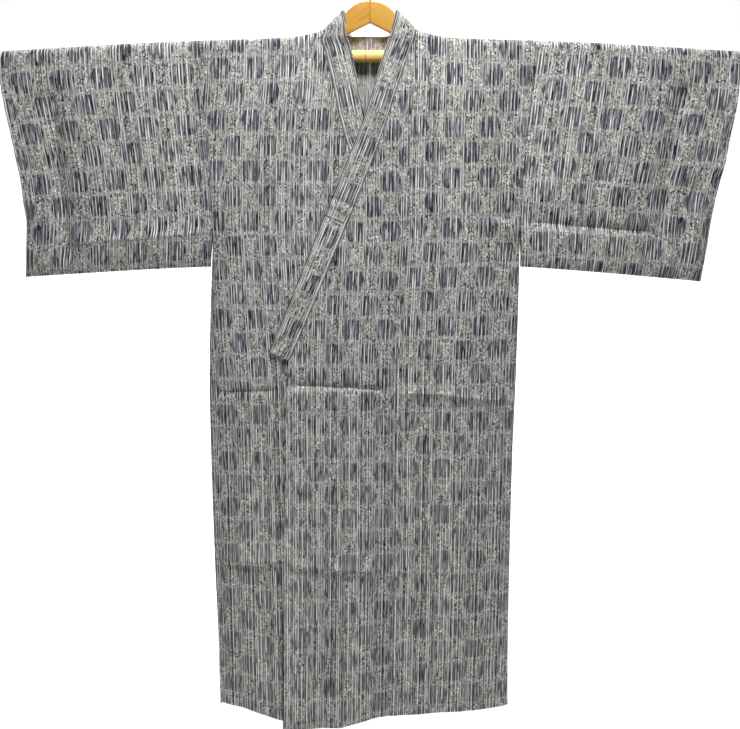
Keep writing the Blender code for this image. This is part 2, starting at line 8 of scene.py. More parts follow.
import bmesh
import bpy
import numpy as np
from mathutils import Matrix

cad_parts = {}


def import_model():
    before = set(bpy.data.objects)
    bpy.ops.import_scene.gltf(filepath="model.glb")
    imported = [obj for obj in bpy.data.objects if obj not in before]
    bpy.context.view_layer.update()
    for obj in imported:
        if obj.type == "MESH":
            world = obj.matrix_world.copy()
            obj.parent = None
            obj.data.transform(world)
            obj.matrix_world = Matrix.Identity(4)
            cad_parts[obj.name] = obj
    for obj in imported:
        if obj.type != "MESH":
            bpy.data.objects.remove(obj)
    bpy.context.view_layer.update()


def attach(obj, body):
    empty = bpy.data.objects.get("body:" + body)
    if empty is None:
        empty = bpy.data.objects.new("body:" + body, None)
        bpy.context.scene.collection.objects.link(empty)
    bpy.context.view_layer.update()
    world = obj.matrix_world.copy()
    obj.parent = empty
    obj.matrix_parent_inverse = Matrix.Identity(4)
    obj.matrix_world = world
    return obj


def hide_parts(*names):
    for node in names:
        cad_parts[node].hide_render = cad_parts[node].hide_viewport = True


LEFT = -1
RIGHT = 1
SIDES = {"left": LEFT, "right": RIGHT}

# The cloth's own sizes
CLOTH = 0.0006
HEM_EXTRA = 0.0005
HEM_WIDTH = 0.017
COLLAR_CLOTH = 0.0022
COLLAR_EDGE_CLOTH = 0.0012
WRAP_CLOTH = 0.0007
WRAP_LIFT = 0.002
WRAP_HEM = 0.012
WRAP_HEM_EXTRA = 0.0007
SEAM_GAP = 0.0004
TIP_WIDTH = 0.0023
LIP = 0.00076

# The hanging shape, with the same names and values as the solids
FOLD_RADIUS = 0.0145
FRONT_DEPTH = 0.0165
BACK_DEPTH = 0.0155
OVERLAP_DEPTH = 0.007
SIDE_ROUND = 0.045
SLEEVE_END_ROUND = 0.03
SHOULDER_SIDE_X = 0.32
SHOULDER_SIDE_Z = -0.133
SLEEVE_TIP_X = 0.7
NECK_GAP = 0.0012
BACK_NECK_RISE = (0.0, 0.0006, 0.0018)
BACK_NECK_X = 0.052
CENTRE_BACK_SHIFT = -0.014
ARMHOLE_END = -0.475
CUFF_OPENING_END = -0.395
CLOSE_RUN = 0.07
FOLD_BLEND = 0.08
SWAY_START = -0.2
SWAY_RUN = 1.2
SWAY_DEPTH = 0.0036
SLEEVE_DROP = 0.428
SLEEVE_SAG = {LEFT: 0.0, RIGHT: 0.009}
SLEEVE_BODY_GAP = 0.0018
SLEEVE_BODY_RUN = 0.028
BACK_HEM = -1.47
HEM_START = -1.16
HEM_LEVEL = -1.4754
TOP_LEVEL = -0.1475
SLEEVE_BOTTOM = -0.561
COLLAR_END = -0.7435
COLLAR_WRAP_END = -0.479
# Where the extra depth of the overlapped front runs out, sideways and upwards
OVERLAP_OUT = 0.285
OVERLAP_OUT_RUN = 0.13
OVERLAP_TOP = -0.145
OVERLAP_TOP_RUN = 0.1
# Where rows of cloth leave the shoulder's slope, and where the centre back seam moves aside
LEVEL_END = -0.3
LEVEL_RUN = 0.15
CENTRE_START = -0.15
CENTRE_RUN = 0.65
# Two upright waves of the hanging cloth: share and length, then the second one's phase and lean
SWAY_WIDE = (0.6, 0.21)
SWAY_NARROW = (0.4, 0.127)
SWAY_PHASE = 1.1
SWAY_LEAN = 1.5
FRONT_SWAY = 0.6
BACK_SWAY = 2.4
# How steeply a large fold fades at its ends
FOLD_END = 8

# Shoulder line: distance from the centre, height
SHOULDER = (
    (0.0, -0.112), (0.086, -0.112), (0.105, -0.1185), (0.13, -0.124),
    (0.17, -0.128), (0.32, -0.133), (0.46, -0.139), (0.7, -0.153),
)
# Armhole and side seam: height, distance on the left, distance on the right
SIDE_SEAM = (
    (-0.133, 0.319, 0.319), (-0.24, 0.315, 0.306), (-0.356, 0.309, 0.295),
    (-0.479, 0.303, 0.29), (-0.56, 0.308, 0.291), (-0.755, 0.317, 0.289),
    (-0.94, 0.318, 0.285), (-1.16, 0.315, 0.2835), (-1.32, 0.311, 0.283),
    (-1.53, 0.31, 0.286),
)
# Cuff edge: drop below the shoulder fold, distance on the left, distance on the right
CUFF = (
    (0.0, 0.7, 0.699), (0.055, 0.6995, 0.699), (0.105, 0.6925, 0.695),
    (0.155, 0.684, 0.686), (0.205, 0.6755, 0.679), (0.24, 0.6695, 0.67),
    (0.28, 0.6665, 0.662), (0.32, 0.665, 0.659), (0.36, 0.6675, 0.655),
    (0.43, 0.672, 0.645),
)
# Seam between body and front overlap: height, x of the left seam, x of the right seam
OVERLAP_SEAM = (
    (-0.112, -0.083, 0.0826), (-0.194, -0.086, 0.083), (-0.29, -0.1, 0.078),
    (-0.42, -0.108, 0.0755), (-0.5, -0.108, 0.074), (-0.665, -0.096, 0.0585),
    (-0.8, -0.085, 0.0512), (-1.15, -0.078, 0.0464), (-1.53, -0.075, 0.036),
)
# Collar seam, then the free front edge: height, x of the under front, x of the over front
FRONT_LINE = (
    (-0.112, -0.093, 0.087), (-0.13, -0.0895, 0.0825), (-0.2, -0.0735, 0.058),
    (-0.3, -0.0515, 0.0255), (-0.4, -0.0165, -0.0125), (-0.5, 0.0235, -0.0535),
    (-0.6, 0.066, -0.0955), (-0.7, 0.1105, -0.1385), (-0.7435, 0.131, -0.1588),
    (-0.8, 0.137, -0.1633), (-1.15, 0.148, -0.1734), (-1.53, 0.156, -0.18),
)
# Collar band: height, width of the under band, of the over band, lean of each towards the viewer
BAND = (
    (-0.112, 0.0465, 0.0465, 0.42, 0.42), (-0.16, 0.047, 0.045, 0.12, 0.3),
    (-0.25, 0.0465, 0.043, 0.0, 0.34), (-0.38, 0.0465, 0.044, 0.0, 0.12),
    (-0.5, 0.0465, 0.047, 0.0, 0.0), (-0.7435, 0.045, 0.0435, 0.0, 0.0),
)
COLLAR_WIDTH = BAND[0][1]
# Neck edge over the shoulder: fold angle from the front, distance from the centre,
# then the band's direction inward, back and up
NECK_TURN = (
    (60, 0.0862, 0.8, -0.33, 0.5), (30, 0.0862, 0.74, -0.12, 0.66),
    (0, 0.085, 0.71, 0.06, 0.7), (-25, 0.0805, 0.63, 0.28, 0.72),
    (-50, 0.0725, 0.48, 0.56, 0.66), (-75, 0.06, 0.32, 0.8, 0.48),
)
# Band along the back neck: share of the way to the centre, direction inward, back and up
BACK_TURN = (
    (0.0, 0.24, 0.92, 0.2), (0.33, 0.1, 0.97, -0.16), (0.67, 0.03, 0.9, -0.43),
    (1.0, 0.0, 0.84, -0.54),
)
# Hem of the under front, then of the over front: x, height
UNDER_HEM = (
    (-0.32, -1.459), (-0.29, -1.4645), (-0.265, -1.469), (-0.24, -1.4785),
    (-0.206, -1.4906), (-0.17, -1.499), (-0.05, -1.484), (0.05, -1.47), (0.16, -1.462),
)
OVER_HEM = (
    (-0.19, -1.5225), (-0.12, -1.516), (-0.06, -1.5105), (-0.04, -1.505),
    (-0.008, -1.4965), (0.02, -1.488), (0.06, -1.485), (0.1, -1.483),
    (0.144, -1.4785), (0.206, -1.474), (0.3, -1.469),
)
# Largest folds of the front: first end x and height, last end x and height, rise, half width
FRONT_FOLDS = (
    (-0.122, -0.19, -0.3, -0.455, 0.003, 0.03),
    (-0.195, -0.395, -0.255, -0.61, -0.003, 0.024),
    (0.19, -0.455, 0.29, -0.48, 0.003, 0.024),
    (-0.31, -0.812, 0.04, -0.812, 0.0028, 0.026),
    (0.06, -0.812, 0.285, -0.826, 0.0026, 0.026),
    (-0.31, -1.145, 0.02, -1.16, 0.0026, 0.026),
    (0.31, -0.476, 0.58, -0.49, 0.0045, 0.026),
    (-0.59, -0.515, -0.32, -0.496, 0.003, 0.026),
    (-0.615, -0.23, -0.575, -0.54, -0.0026, 0.024),
    (0.605, -0.22, 0.555, -0.53, -0.0026, 0.024),
    (0.5, -0.29, 0.33, -0.45, 0.003, 0.03),
)
# Largest folds of the back, in the same columns
BACK_FOLDS = (
    (-0.3, -0.812, 0.285, -0.82, -0.0026, 0.026),
    (-0.3, -1.15, 0.285, -1.158, -0.0024, 0.026),
    (-0.12, -0.2, -0.29, -0.45, -0.0028, 0.03),
    (0.12, -0.2, 0.28, -0.45, -0.0028, 0.03),
    (0.32, -0.48, 0.6, -0.49, -0.0026, 0.026),
    (-0.6, -0.5, -0.32, -0.49, -0.0026, 0.026),
)

# Pressed creases of the front: rise, half width to the left of its way and to the right,
# then the points that each runs through
FRONT_CREASES = (
    (-0.0026, 0.009, 0.005, ((-0.309, -0.8105), (-0.167, -0.8044))),
    (-0.0036, 0.011, 0.005, ((-0.168, -0.7944), (-0.06, -0.7985), (0.052, -0.8064))),
    (0.0024, 0.006, 0.007, (
        (0.055, -0.8064), (0.138, -0.8085), (0.207, -0.8185), (0.288, -0.8225))),
    (0.0036, 0.008, 0.0055, ((-0.317, -1.1496), (-0.175, -1.1538))),
    (0.0037, 0.008, 0.006, ((-0.175, -1.1575), (-0.08, -1.1665), (0.017, -1.1727))),
    (0.0012, 0.006, 0.006, ((0.205, -1.1475), (0.288, -1.1433))),
    (-0.0012, 0.006, 0.006, ((0.0098, -0.8024), (0.012, -0.9852))),
    (-0.0014, 0.007, 0.007, ((0.1968, -0.8024), (0.199, -1.15), (0.2022, -1.4963))),
    (0.001, 0.007, 0.007, ((-0.1101, -0.29), (-0.1123, -0.5657))),
    (0.0016, 0.009, 0.009, ((-0.1223, -0.1698), (-0.21, -0.308), (-0.2975, -0.4503))),
    (-0.0018, 0.009, 0.009, (
        (-0.195, -0.3933), (-0.2075, -0.4599), (-0.2321, -0.5561), (-0.2523, -0.6047))),
    (-0.0026, 0.006, 0.006, ((-0.301, -0.47), (-0.2778, -0.5174))),
    (0.0014, 0.008, 0.008, ((-0.2642, -0.7227), (-0.3051, -0.8064))),
    (-0.003, 0.009, 0.006, ((0.2018, -0.4656), (0.25, -0.464), (0.29, -0.4732))),
    (-0.0056, 0.017, 0.01, (
        (-0.608, -0.2213), (-0.6025, -0.3556), (-0.5898, -0.5078), (-0.5826, -0.56))),
    (-0.0016, 0.005, 0.005, ((-0.66, -0.479), (-0.6059, -0.479))),
    (0.0018, 0.007, 0.007, ((-0.5824, -0.5136), (-0.44, -0.503), (-0.312, -0.4924))),
    (-0.0054, 0.019, 0.007, ((0.3, -0.474), (0.43, -0.485), (0.5619, -0.496))),
    (-0.0056, 0.01, 0.017, ((0.6034, -0.2029), (0.5784, -0.3255), (0.5682, -0.4503), (0.5528, -0.5464))),
    (-0.0026, 0.007, 0.007, ((0.6458, -0.3857), (0.5955, -0.4599))),
    (-0.0018, 0.0055, 0.0055, ((0.6173, -0.4313), (0.5767, -0.4694))),
    (0.0014, 0.009, 0.009, ((0.4741, -0.2807), (0.39, -0.362), (0.3069, -0.4408))),
)
# Cross folds of the collar: distance above the outer collar's end, rise, half width
BAND_FOLDS = (
    (0.034, -0.0026, 0.005), (0.022, 0.0028, 0.0065), (0.24, -0.001, 0.005),
    (-0.105, -0.0014, 0.0045), (-0.09, 0.0008, 0.008),
)
# Pressed creases of the back, in the same columns
BACK_CREASES = (
    (0.0013, 0.006, 0.006, ((-0.316, -0.808), (0.0, -0.812), (0.288, -0.82))),
    (0.0012, 0.006, 0.006, ((-0.316, -1.15), (0.0, -1.156), (0.286, -1.148))),
    (-0.0012, 0.007, 0.007, ((0.156, -0.3), (0.15, -1.46))),
    (-0.0012, 0.007, 0.007, ((-0.164, -0.3), (-0.17, -1.46))),
    (-0.0018, 0.006, 0.006, ((-0.605, -0.24), (-0.585, -0.55))),
    (-0.0018, 0.006, 0.006, ((0.605, -0.24), (0.556, -0.54))),
)
CREASE_STRENGTH = 2.7
# A crease's profile, its share of the rise at its very end, and the length over which it grows
CREASE_POWER = 1.25
CREASE_END_SHARE = 0.25
CREASE_END_RUN = 0.05
# Small waves of worn cotton: direction in degrees, wave length, rise, phase
WRINKLES = (
    (8, 0.093, 0.0006, 0.4), (82, 0.071, 0.0005, 2.1), (38, 0.057, 0.00042, 4.0),
    (-31, 0.043, 0.00036, 1.3), (97, 0.031, 0.00022, 5.2), (61, 0.023, 0.00016, 0.9),
)
# Slow waves that bend the small ones, sideways and upwards: rise, length, phase
BENDS_ASIDE = ((0.016, 0.31, 1.7), (0.008, 0.083, 0.0))
BENDS_UP = ((0.018, 0.27, 0.6), (0.007, 0.071, 0.0))
# Waves of the collar band: rise, length, phase; the phase of the second grows across the band
BAND_WAVES = ((0.0005, 0.145, 1.1), (0.0003, 0.052, 2.4))
SEAM_DIP = 0.0019
SEAM_DIP_WIDTH = 0.004

# Grid steps of the fine cloth
CLOTH_STEP = 0.0056
CREASE_STEP = 0.002
CREASE_ZONES = ((-0.832, -0.788), (-1.182, -1.136))
SLEEVE_CREASE_ZONE = (-0.52, -0.446)
RIM_STEPS = (0.0, 0.0012, 0.0032, 0.006, 0.0095, 0.0138, 0.019, 0.025, 0.032, 0.04)
HEM_STEPS = (0.0, 0.002, 0.008, 0.0155, 0.017, 0.0185, 0.022)
FOLD_ANGLE_STEP = 6
BAND_STEP = 0.003
BAND_COLUMNS = (0.0, 0.02, 0.06, 0.14, 0.26, 0.38, 0.5, 0.62, 0.74, 0.86, 0.94, 0.98, 1.0)
# Rounds in which a bent row and an upright edge find each other
EDGE_ROUNDS = 4
# The outer collar: steps round the band's free edge, and the band's first column that it covers
WRAP_TURNS = 8
WRAP_COLUMN = 3
# Least gap between the hem's own rows and the next, and width of a panel for its columns
ROW_CLEARANCE = 0.002
PANEL_WIDTH = 0.235
# Lengths over which hems, the free front edge and the collar's thin edge change their thickness
HEM_RUN = 0.002
FREE_EDGE_RUN = 0.004
WRAP_HEM_RUN = 0.003
COLLAR_EDGE_SHARE = 0.1
# Heights of the collar's rows on the front
COLLAR_LEVELS = (
    -0.1475, -0.17, -0.197, -0.226, -0.256, -0.288, -0.32, -0.352, -0.384, -0.416,
    -0.448, -0.479, -0.507, -0.53, -0.546, -0.585, -0.625, -0.664, -0.704, -0.7435,
)

# The woven lattice: distance between hexagons in a row, between rows, and a hexagon's half sizes
LATTICE_PITCH = 0.076
LATTICE_ROW = 0.0476
HEXAGON_HALF_WIDTH = 0.0256
HEXAGON_HALF_HEIGHT = 0.0192
HEXAGON_SLANT = 0.55
# The small dark mark between two hexagons: half width, half height, distance from the row
MARK_HALF_WIDTH = 0.0105
MARK_HALF_HEIGHT = 0.0034
MARK_PLACE = 0.0168
# The pale outline that a hexagon leaves round itself
OUTLINE_WIDTH = 0.0062
# Sizes of a thread, a speck, a stripe's dash, a crosswise thread and its run
THREAD = 0.0019
PICK = 0.003
DASH = 0.017
WEFT = 0.0021
WEFT_RUN = 0.013
# Wander and softness of a hexagon's edge, and where outline and mark begin to show
STRIPE_WANDER = 0.003
STRIPE_SOFTNESS = 0.002
OUTLINE_START = 1.4
MARK_SHARPNESS = 2.0
MARK_START = 0.3
# Long threads: least and added share of the place in a spacing, the width and the strength
LINE_SPACING = 0.0068
BAND_LINE_SPACING = 0.0052
LINE_PLACE = (0.2, 0.6)
LINE_WIDTH = (0.6, 0.7)
LINE_STRENGTH = (0.5, 0.6)
LINE_SOFTNESS = 0.0005
# Thick and thin lengths of a long thread
SLUB_SCALE = 26.0
SLUB_SHIFT = 0.37
SLUB_RANGE = (0.36, 0.54)
# Strength of the long threads off the hexagons, and added on them and on worn cloth
LINES_SHOWN = (0.55, 0.45, 0.35)
# Shares of the crosswise threads that stay bare and of the stripes that go on outside a hexagon
WEFT_BARE = 0.55
DASH_SHARE = 0.1
# How strongly each of them shows, how far worn cloth fades, and how much paler the inside is
WEFT_STRENGTH = 0.45
OUTLINE_STRENGTH = 0.5
MARK_STRENGTH = 0.55
DASH_STRENGTH = 0.55
WORN_FADE = 0.2
INSIDE_STRENGTH = 0.35
# Fine weave: angle that its waves turn in a metre, share of the relief, depth and strength
WEAVE_TURNS = 7854.0
WEAVE_SHARE = 0.25
WEAVE_DEPTH = 0.00014
WEAVE_STRENGTH = 0.5
# Heights between which the worn cloth's pattern fades
FADE_START = -0.72
FADE_END = -1.08
# Where one hexagon stands on each piece: x, height, and how much the piece is gathered sideways
LATTICE_PLACE = {
    "body_left": (-0.2292, -0.3763, 1.18),
    "body_right": (0.1531, -0.5793, 1.1),
    "overlap_left": (-0.098, -0.3763, 1.12),
    "overlap_right": (-0.0351, -0.682, 1.16),
    "sleeve_left": (-0.5084, -0.289, 1.0),
    "sleeve_right": (0.4745, -0.271, 1.0),
}
COLLAR_PHASE = 0.031
# How much of a seam's lean the woven stripes follow
GRAIN_LEAN = 0.5

# Colours as they look on a screen, from 0 to 255
NAVY = (22, 22, 32)
PALE_THREAD = (246, 246, 241)
INSIDE_TONE = (196, 195, 188)
PALE_GROUND = (170, 170, 164)
MARK_TONE = (84, 84, 89)
JOINT_TONE = (110, 66, 24)
# Share of the threads at which each tone begins
GROUND_TONES = (
    (0.0, (34, 34, 42)), (0.13, (90, 90, 94)), (0.34, (147, 146, 142)),
    (0.62, (181, 181, 175)), (0.84, (236, 235, 229)),
)
STRIPE_TONES = (
    (0.0, (26, 26, 40)), (0.1, (62, 62, 75)), (0.3, (95, 95, 105)),
    (0.55, (116, 116, 123)), (0.84, (160, 160, 163)),
)
ORANGE_TONES = ((0.28, (190, 130, 46)), (0.5, (214, 160, 66)), (0.72, (228, 178, 84)))
YELLOW_TONES = ((0.28, (234, 182, 84)), (0.5, (250, 206, 106)), (0.72, (254, 218, 124)))
WIRE_TONES = ((0.3, (178, 180, 184)), (0.7, (206, 208, 210)))
# Long threads: colour, half width, seed
LONG_THREADS = ((NAVY, 0.00105, 300.0), (PALE_THREAD, 0.0009, 900.0))
# Lines painted along the collar's two edges, a pale line inside and a navy line of painted seam shadow at
# the edge itself: distance from the edge, half width, strength, colour
BAND_SHADOW_AND_PALE_LINES = ((0.0036, 0.0008, 0.45, PALE_THREAD), (0.0012, 0.0012, 0.7, NAVY))

# The hanger
ARM_HALF_DEPTH = 0.008
ARM_ROUND = 0.003
DOME_TOP = -0.06
DOME_RADIUS = 0.058
DOME_CORNER_X = 0.052
DOME_STEPS = 40
ROD_RADIUS = 0.0115
ROD_HEIGHT = -0.1616
ROD_HALF_LENGTH = 0.632
ROD_JOINT_X = -0.008
ROD_GROOVE = 0.0006
ROD_CHAMFER = 0.0015
ROD_SIDES = 96
HOOK_WIRE = 0.0018
HOOK_RADIUS = 0.02
HOOK_FILLET = 0.0086
HOOK_START_ANGLE = -72.5
HOOK_END_ANGLE = 205.0
HOOK_FOOT = -0.084
HOOK_HOLE_DEPTH = 0.026
HOOK_SIDES = 24
HOOK_STEPS = 72
HOOK_FILLET_STEPS = 12
# Share of the wire's radius at the hook's tip, and of the chamfer at the rod's first step
HOOK_TIP = 0.55
ROD_ROUNDING = 0.4
# Reach of the bars that cut the rod's seat and the hook's hole
SEAT_REACH = 0.2
HOLE_REACH = 0.01
# Wood: stretch of the grain, its shift between the arms, its two scales and their shares,
# spread of the roughness, slope of the arms' grain, half width and strength of the joint line
GRAIN_STRETCH = 0.06
GRAIN_SHIFT = 0.37
GRAIN_SCALES = (55.0, 520.0)
GRAIN_SHARES = (0.65, 0.35)
ROUGHNESS_SPREAD = 0.18
MITRE_SLOPE = 0.72
JOINT_HALF_WIDTH = 0.0007
JOINT_STRENGTH = 0.75
# Clearance of the cuts, and the arms' outline to the right: x, height
FIT_GAP = 0.0003
ARM_OUTLINE = (
    (0.0, -0.1011), (0.045, -0.1227), (0.098, -0.1575), (0.14, -0.1575),
    (0.147, -0.153), (0.146, -0.147), (0.115, -0.1385), (0.086, -0.1245), (0.07, -0.113),
)

# The camera, from the photograph's proportions
CAMERA_PITCH = math.radians(10)
CAMERA_DISTANCE = 2.5
CAMERA_AIM = -0.755
CAMERA_LENS = 61.5
FLOOR_Z = -1.6
FLOOR_FRONT = -7.0
FLOOR_SIDE = 7.0
BACKDROP_Y = 4.4
BACKDROP_ROUND = 1.2
BACKDROP_TOP = 3.0
BACKDROP_STEPS = 13
# Linear colour of the floor, and strength of the white sky
PAINT = (0.9, 0.9, 0.89, 1.0)
SKY_STRENGTH = 0.055
# Soft lights: name, place, aim, size, watts, spread in degrees
LIGHTS = (
    ("key", (0.1, -1.15, 1.38), (0.0, 0.0, -0.35), (0.5, 0.5), 33.5, 140),
    ("fill", (0.6, -2.8, 0.6), (0.0, 0.0, -0.3), (1.6, 1.6), 2.2, 180),
    ("top", (0.0, 2.1, 2.8), (0.0, 2.6, -0.8), (4.0, 2.5), 195.0, 115),
)


def smooth(value):
    value = np.clip(value, 0.0, 1.0)
    return value * value * (3 - 2 * value)


def hermite(keys, values, slopes, wanted):
    """Values at the wanted keys, on a smooth curve with these slopes."""
    index = np.clip(np.searchsorted(keys, wanted, side="right") - 1, 0, len(keys) - 2)
    span = keys[index + 1] - keys[index]
    t = (wanted - keys[index]) / span
    if values.ndim > 1:
        span, t = span[:, None], t[:, None]
    return (
        (2 * t ** 3 - 3 * t ** 2 + 1) * values[index]
        + (t ** 3 - 2 * t ** 2 + t) * span * slopes[index]
        + (-2 * t ** 3 + 3 * t ** 2) * values[index + 1]
        + (t ** 3 - t ** 2) * span * slopes[index + 1]
    )


def curve(table, key, column=1):
    """Smooth values of one column of a table at the keys, held past both ends."""
    rows = np.array(sorted(row[:1] + (row[column],) for row in table), float)
    keys, values = rows[:, 0], rows[:, 1]
    slopes = np.empty(len(keys))
    slopes[1:-1] = (values[2:] - values[:-2]) / (keys[2:] - keys[:-2])
    slopes[0] = (values[1] - values[0]) / (keys[1] - keys[0])
    slopes[-1] = (values[-1] - values[-2]) / (keys[-1] - keys[-2])
    return hermite(keys, values, slopes, np.clip(np.asarray(key, float), keys[0], keys[-1]))


def shoulder(x):
    return curve(SHOULDER, np.abs(x))


def side_column(side):
    return 1 if side == LEFT else 2


def side_seam(side, z):
    return side * curve(SIDE_SEAM, z, side_column(side))


def front_line(side, z):
    return curve(FRONT_LINE, z, side_column(side))


def seam_line(side, z):
    return curve(OVERLAP_SEAM, z, side_column(side))


def grain_line(side, z):
    """An upright line of the weave near the overlap's seam."""
    level = seam_line(side, SHOULDER_SIDE_Z)
    return level + GRAIN_LEAN * (seam_line(side, z) - level)


def overlap_seam(side, z):
    """The seam where body and front overlap meet; it starts at the overlap's narrow tip."""
    tip = front_line(side, z) + side * TIP_WIDTH
    return side * np.maximum(side * seam_line(side, z), side * tip)


def fold_rise(folds, x, z):
    """Sum of the long soft folds, each fading at its two ends."""
    rise = 0.0
    for x0, z0, x1, z1, height, width in folds:
        along = np.array((x1 - x0, z1 - z0))
        share = ((x - x0) * along[0] + (z - z0) * along[1]) / (along @ along)
        across = np.hypot(x - x0 - along[0] * share, z - z0 - along[1] * share)
        fade = smooth(share * FOLD_END + 0.5) * smooth((1 - share) * FOLD_END + 0.5)
        rise = rise + height * fade * np.exp(-(across / width) ** 2)
    return rise


def crease_rise(creases, x, z):
    """Sum of the pressed creases: each is a sharp ridge or valley along its points."""
    rise = 0.0
    for height, left_width, right_width, points in creases:
        nearest = np.full(np.shape(x + z), np.inf)
        width = np.full(np.shape(x + z), left_width)
        for (x0, z0), (x1, z1) in zip(points, points[1:]):
            along = np.array((x1 - x0, z1 - z0))
            share = ((x - x0) * along[0] + (z - z0) * along[1]) / (along @ along)
            share = np.clip(share, 0.0, 1.0)
            away = np.hypot(x - x0 - along[0] * share, z - z0 - along[1] * share)
            on_left = (z - z0) * along[0] > (x - x0) * along[1]
            width = np.where(away < nearest, np.where(on_left, left_width, right_width), width)
            nearest = np.minimum(nearest, away)
        fade = 1.0
        for px, pz in (points[0], points[-1]):
            fade = fade * smooth(CREASE_END_SHARE + np.hypot(x - px, z - pz) / CREASE_END_RUN)
        profile = np.exp(-(nearest / width) ** CREASE_POWER)
        rise = rise + CREASE_STRENGTH * height * fade * profile
    return rise


def waved(value, place, waves):
    """A value with waves along a place added, each with its rise, length and phase."""
    for rise, length, phase in waves:
        value = value + rise * np.sin(2 * math.pi * place / length + phase)
    return value


def wrinkle_rise(x, z):
    """Small irregular waves, bent by slow ones so that they don't repeat."""
    bent_x, bent_z = waved(x, z, BENDS_ASIDE), waved(z, x, BENDS_UP)
    rise = 0.0
    for angle, length, height, phase in WRINKLES:
        turn = math.radians(angle)
        way = bent_x * math.cos(turn) + bent_z * math.sin(turn)
        rise = waved(rise, way, ((height, length, phase),))
    return rise


def sway(x, z, phase):
    """Long upright waves of the hanging cloth, stronger towards the hem."""
    strength = SWAY_DEPTH * smooth((SWAY_START - z) / SWAY_RUN)
    wide = SWAY_WIDE[0] * np.cos(2 * math.pi * x / SWAY_WIDE[1] + phase)
    turn = 2 * math.pi * x / SWAY_NARROW[1] - SWAY_PHASE + SWAY_LEAN * z
    return strength * (wide + SWAY_NARROW[0] * np.cos(turn))


def below_fold(x, z):
    return smooth((shoulder(x) - FOLD_RADIUS - z) / FOLD_BLEND)


def front_depth(side, x, z):
    """Distance of a front layer's middle from the plane of the rod."""
    below = below_fold(x, z)
    depth = FOLD_RADIUS + (FRONT_DEPTH - FOLD_RADIUS) * below
    depth = depth + sway(x, z, FRONT_SWAY) + fold_rise(FRONT_FOLDS, x, z) * below
    if side == RIGHT:
        depth = depth + OVERLAP_DEPTH * smooth((OVERLAP_OUT - x) / OVERLAP_OUT_RUN) * smooth(
            (OVERLAP_TOP - z) / OVERLAP_TOP_RUN)
    return depth + (crease_rise(FRONT_CREASES, x, z) + wrinkle_rise(x, z)) * below


def back_depth(x, z):
    below = below_fold(x, z)
    depth = FOLD_RADIUS + (BACK_DEPTH - FOLD_RADIUS) * below
    depth = depth + sway(x, z, BACK_SWAY) - fold_rise(BACK_FOLDS, x, z) * below
    return depth + (crease_rise(BACK_CREASES, x, z) + wrinkle_rise(-x, z)) * below


def rounded(distance, run):
    """Share of the full depth at a distance from a closed edge."""
    return np.sqrt(1 - (1 - np.clip(distance / run, 0.0, 1.0)) ** 2)


def closed(depth, share):
    return LIP + (depth - LIP) * share


def seam_dip(distance):
    """How far the cloth dips into a seam at a distance from it."""
    return SEAM_DIP * np.exp(-(distance / SEAM_DIP_WIDTH) ** 2)


def row_height(x, level, hem):
    """Height of one row of cloth at x, bent to the shoulder line and to the hem."""
    shift = shoulder(x) - SHOULDER_SIDE_Z
    height = level + shift * smooth((level - LEVEL_END) / LEVEL_RUN)
    below = HEM_START + (hem(x) - HEM_START) * (HEM_START - level) / (HEM_START - HEM_LEVEL)
    return np.where(level < HEM_START, below, height)


def front_hem(side):
    table = UNDER_HEM if side == LEFT else OVER_HEM
    return lambda x: curve(table, x)


def edge_place(side, level, edge):
    """Places of rows on an upright edge that is given as x for each height."""
    x = edge(side, level)
    for _ in range(EDGE_ROUNDS):
        z = row_height(x, level, front_hem(side))
        x = edge(side, z)
    return x, z


def side_share(side, x, z):
    """How far the side seam pulls front and back together."""
    pull = smooth((ARMHOLE_END - z) / CLOSE_RUN)
    return 1 - pull * (1 - rounded(np.abs(side_seam(side, z) - x), SIDE_ROUND))


def spread(low, high, step):
    return np.linspace(low, high, max(2, int(round((high - low) / step)) + 1))


def fine_levels():
    """Row levels from hem to shoulder, closer together near the pressed creases and the hem."""
    plain = spread(HEM_LEVEL, TOP_LEVEL, CLOTH_STEP)
    plain = plain[plain > HEM_LEVEL + HEM_STEPS[-1] + ROW_CLEARANCE]
    levels = [HEM_LEVEL + np.array(HEM_STEPS)]
    for start, end in CREASE_ZONES:
        plain = plain[(plain < start) | (plain > end)]
        levels.append(spread(start, end, CREASE_STEP))
    return np.unique(np.round(np.concatenate((plain, *levels)), 6))


def fine_shares(width):
    """Shares of a panel's width for its columns, closer together at its rounded edges."""
    rim = np.array(RIM_STEPS) / width
    shares = spread(0.0, 1.0, CLOTH_STEP / width)
    clear = rim[-1] + 0.5 * CLOTH_STEP / width
    inner = shares[(shares > clear) & (shares < 1 - clear)]
    return np.unique(np.round(np.concatenate((rim, inner, 1 - rim)), 6))


def stacked(*values):
    return np.stack(np.broadcast_arrays(*values), axis=-1)


def unit(vectors):
    return vectors / np.linalg.norm(vectors, axis=-1, keepdims=True)


def fold_point(x, angle):
    """Points of the shoulder fold, which passes over the hanger."""
    turn = np.radians(angle)
    drop = FOLD_RADIUS * (1 - np.cos(turn))
    return stacked(x, -FOLD_RADIUS * np.sin(turn), shoulder(x) - drop)


def fold_run(angle):
    return TOP_LEVEL + FOLD_RADIUS * np.radians(90 - angle)


def back_run(level):
    return TOP_LEVEL + FOLD_RADIUS * math.pi + TOP_LEVEL - level


def hem_thickness(level):
    """Cloth thickness at a row: the hem is folded double."""
    return CLOTH + HEM_EXTRA * smooth((HEM_LEVEL + HEM_WIDTH + HEM_RUN / 2 - level) / HEM_RUN)


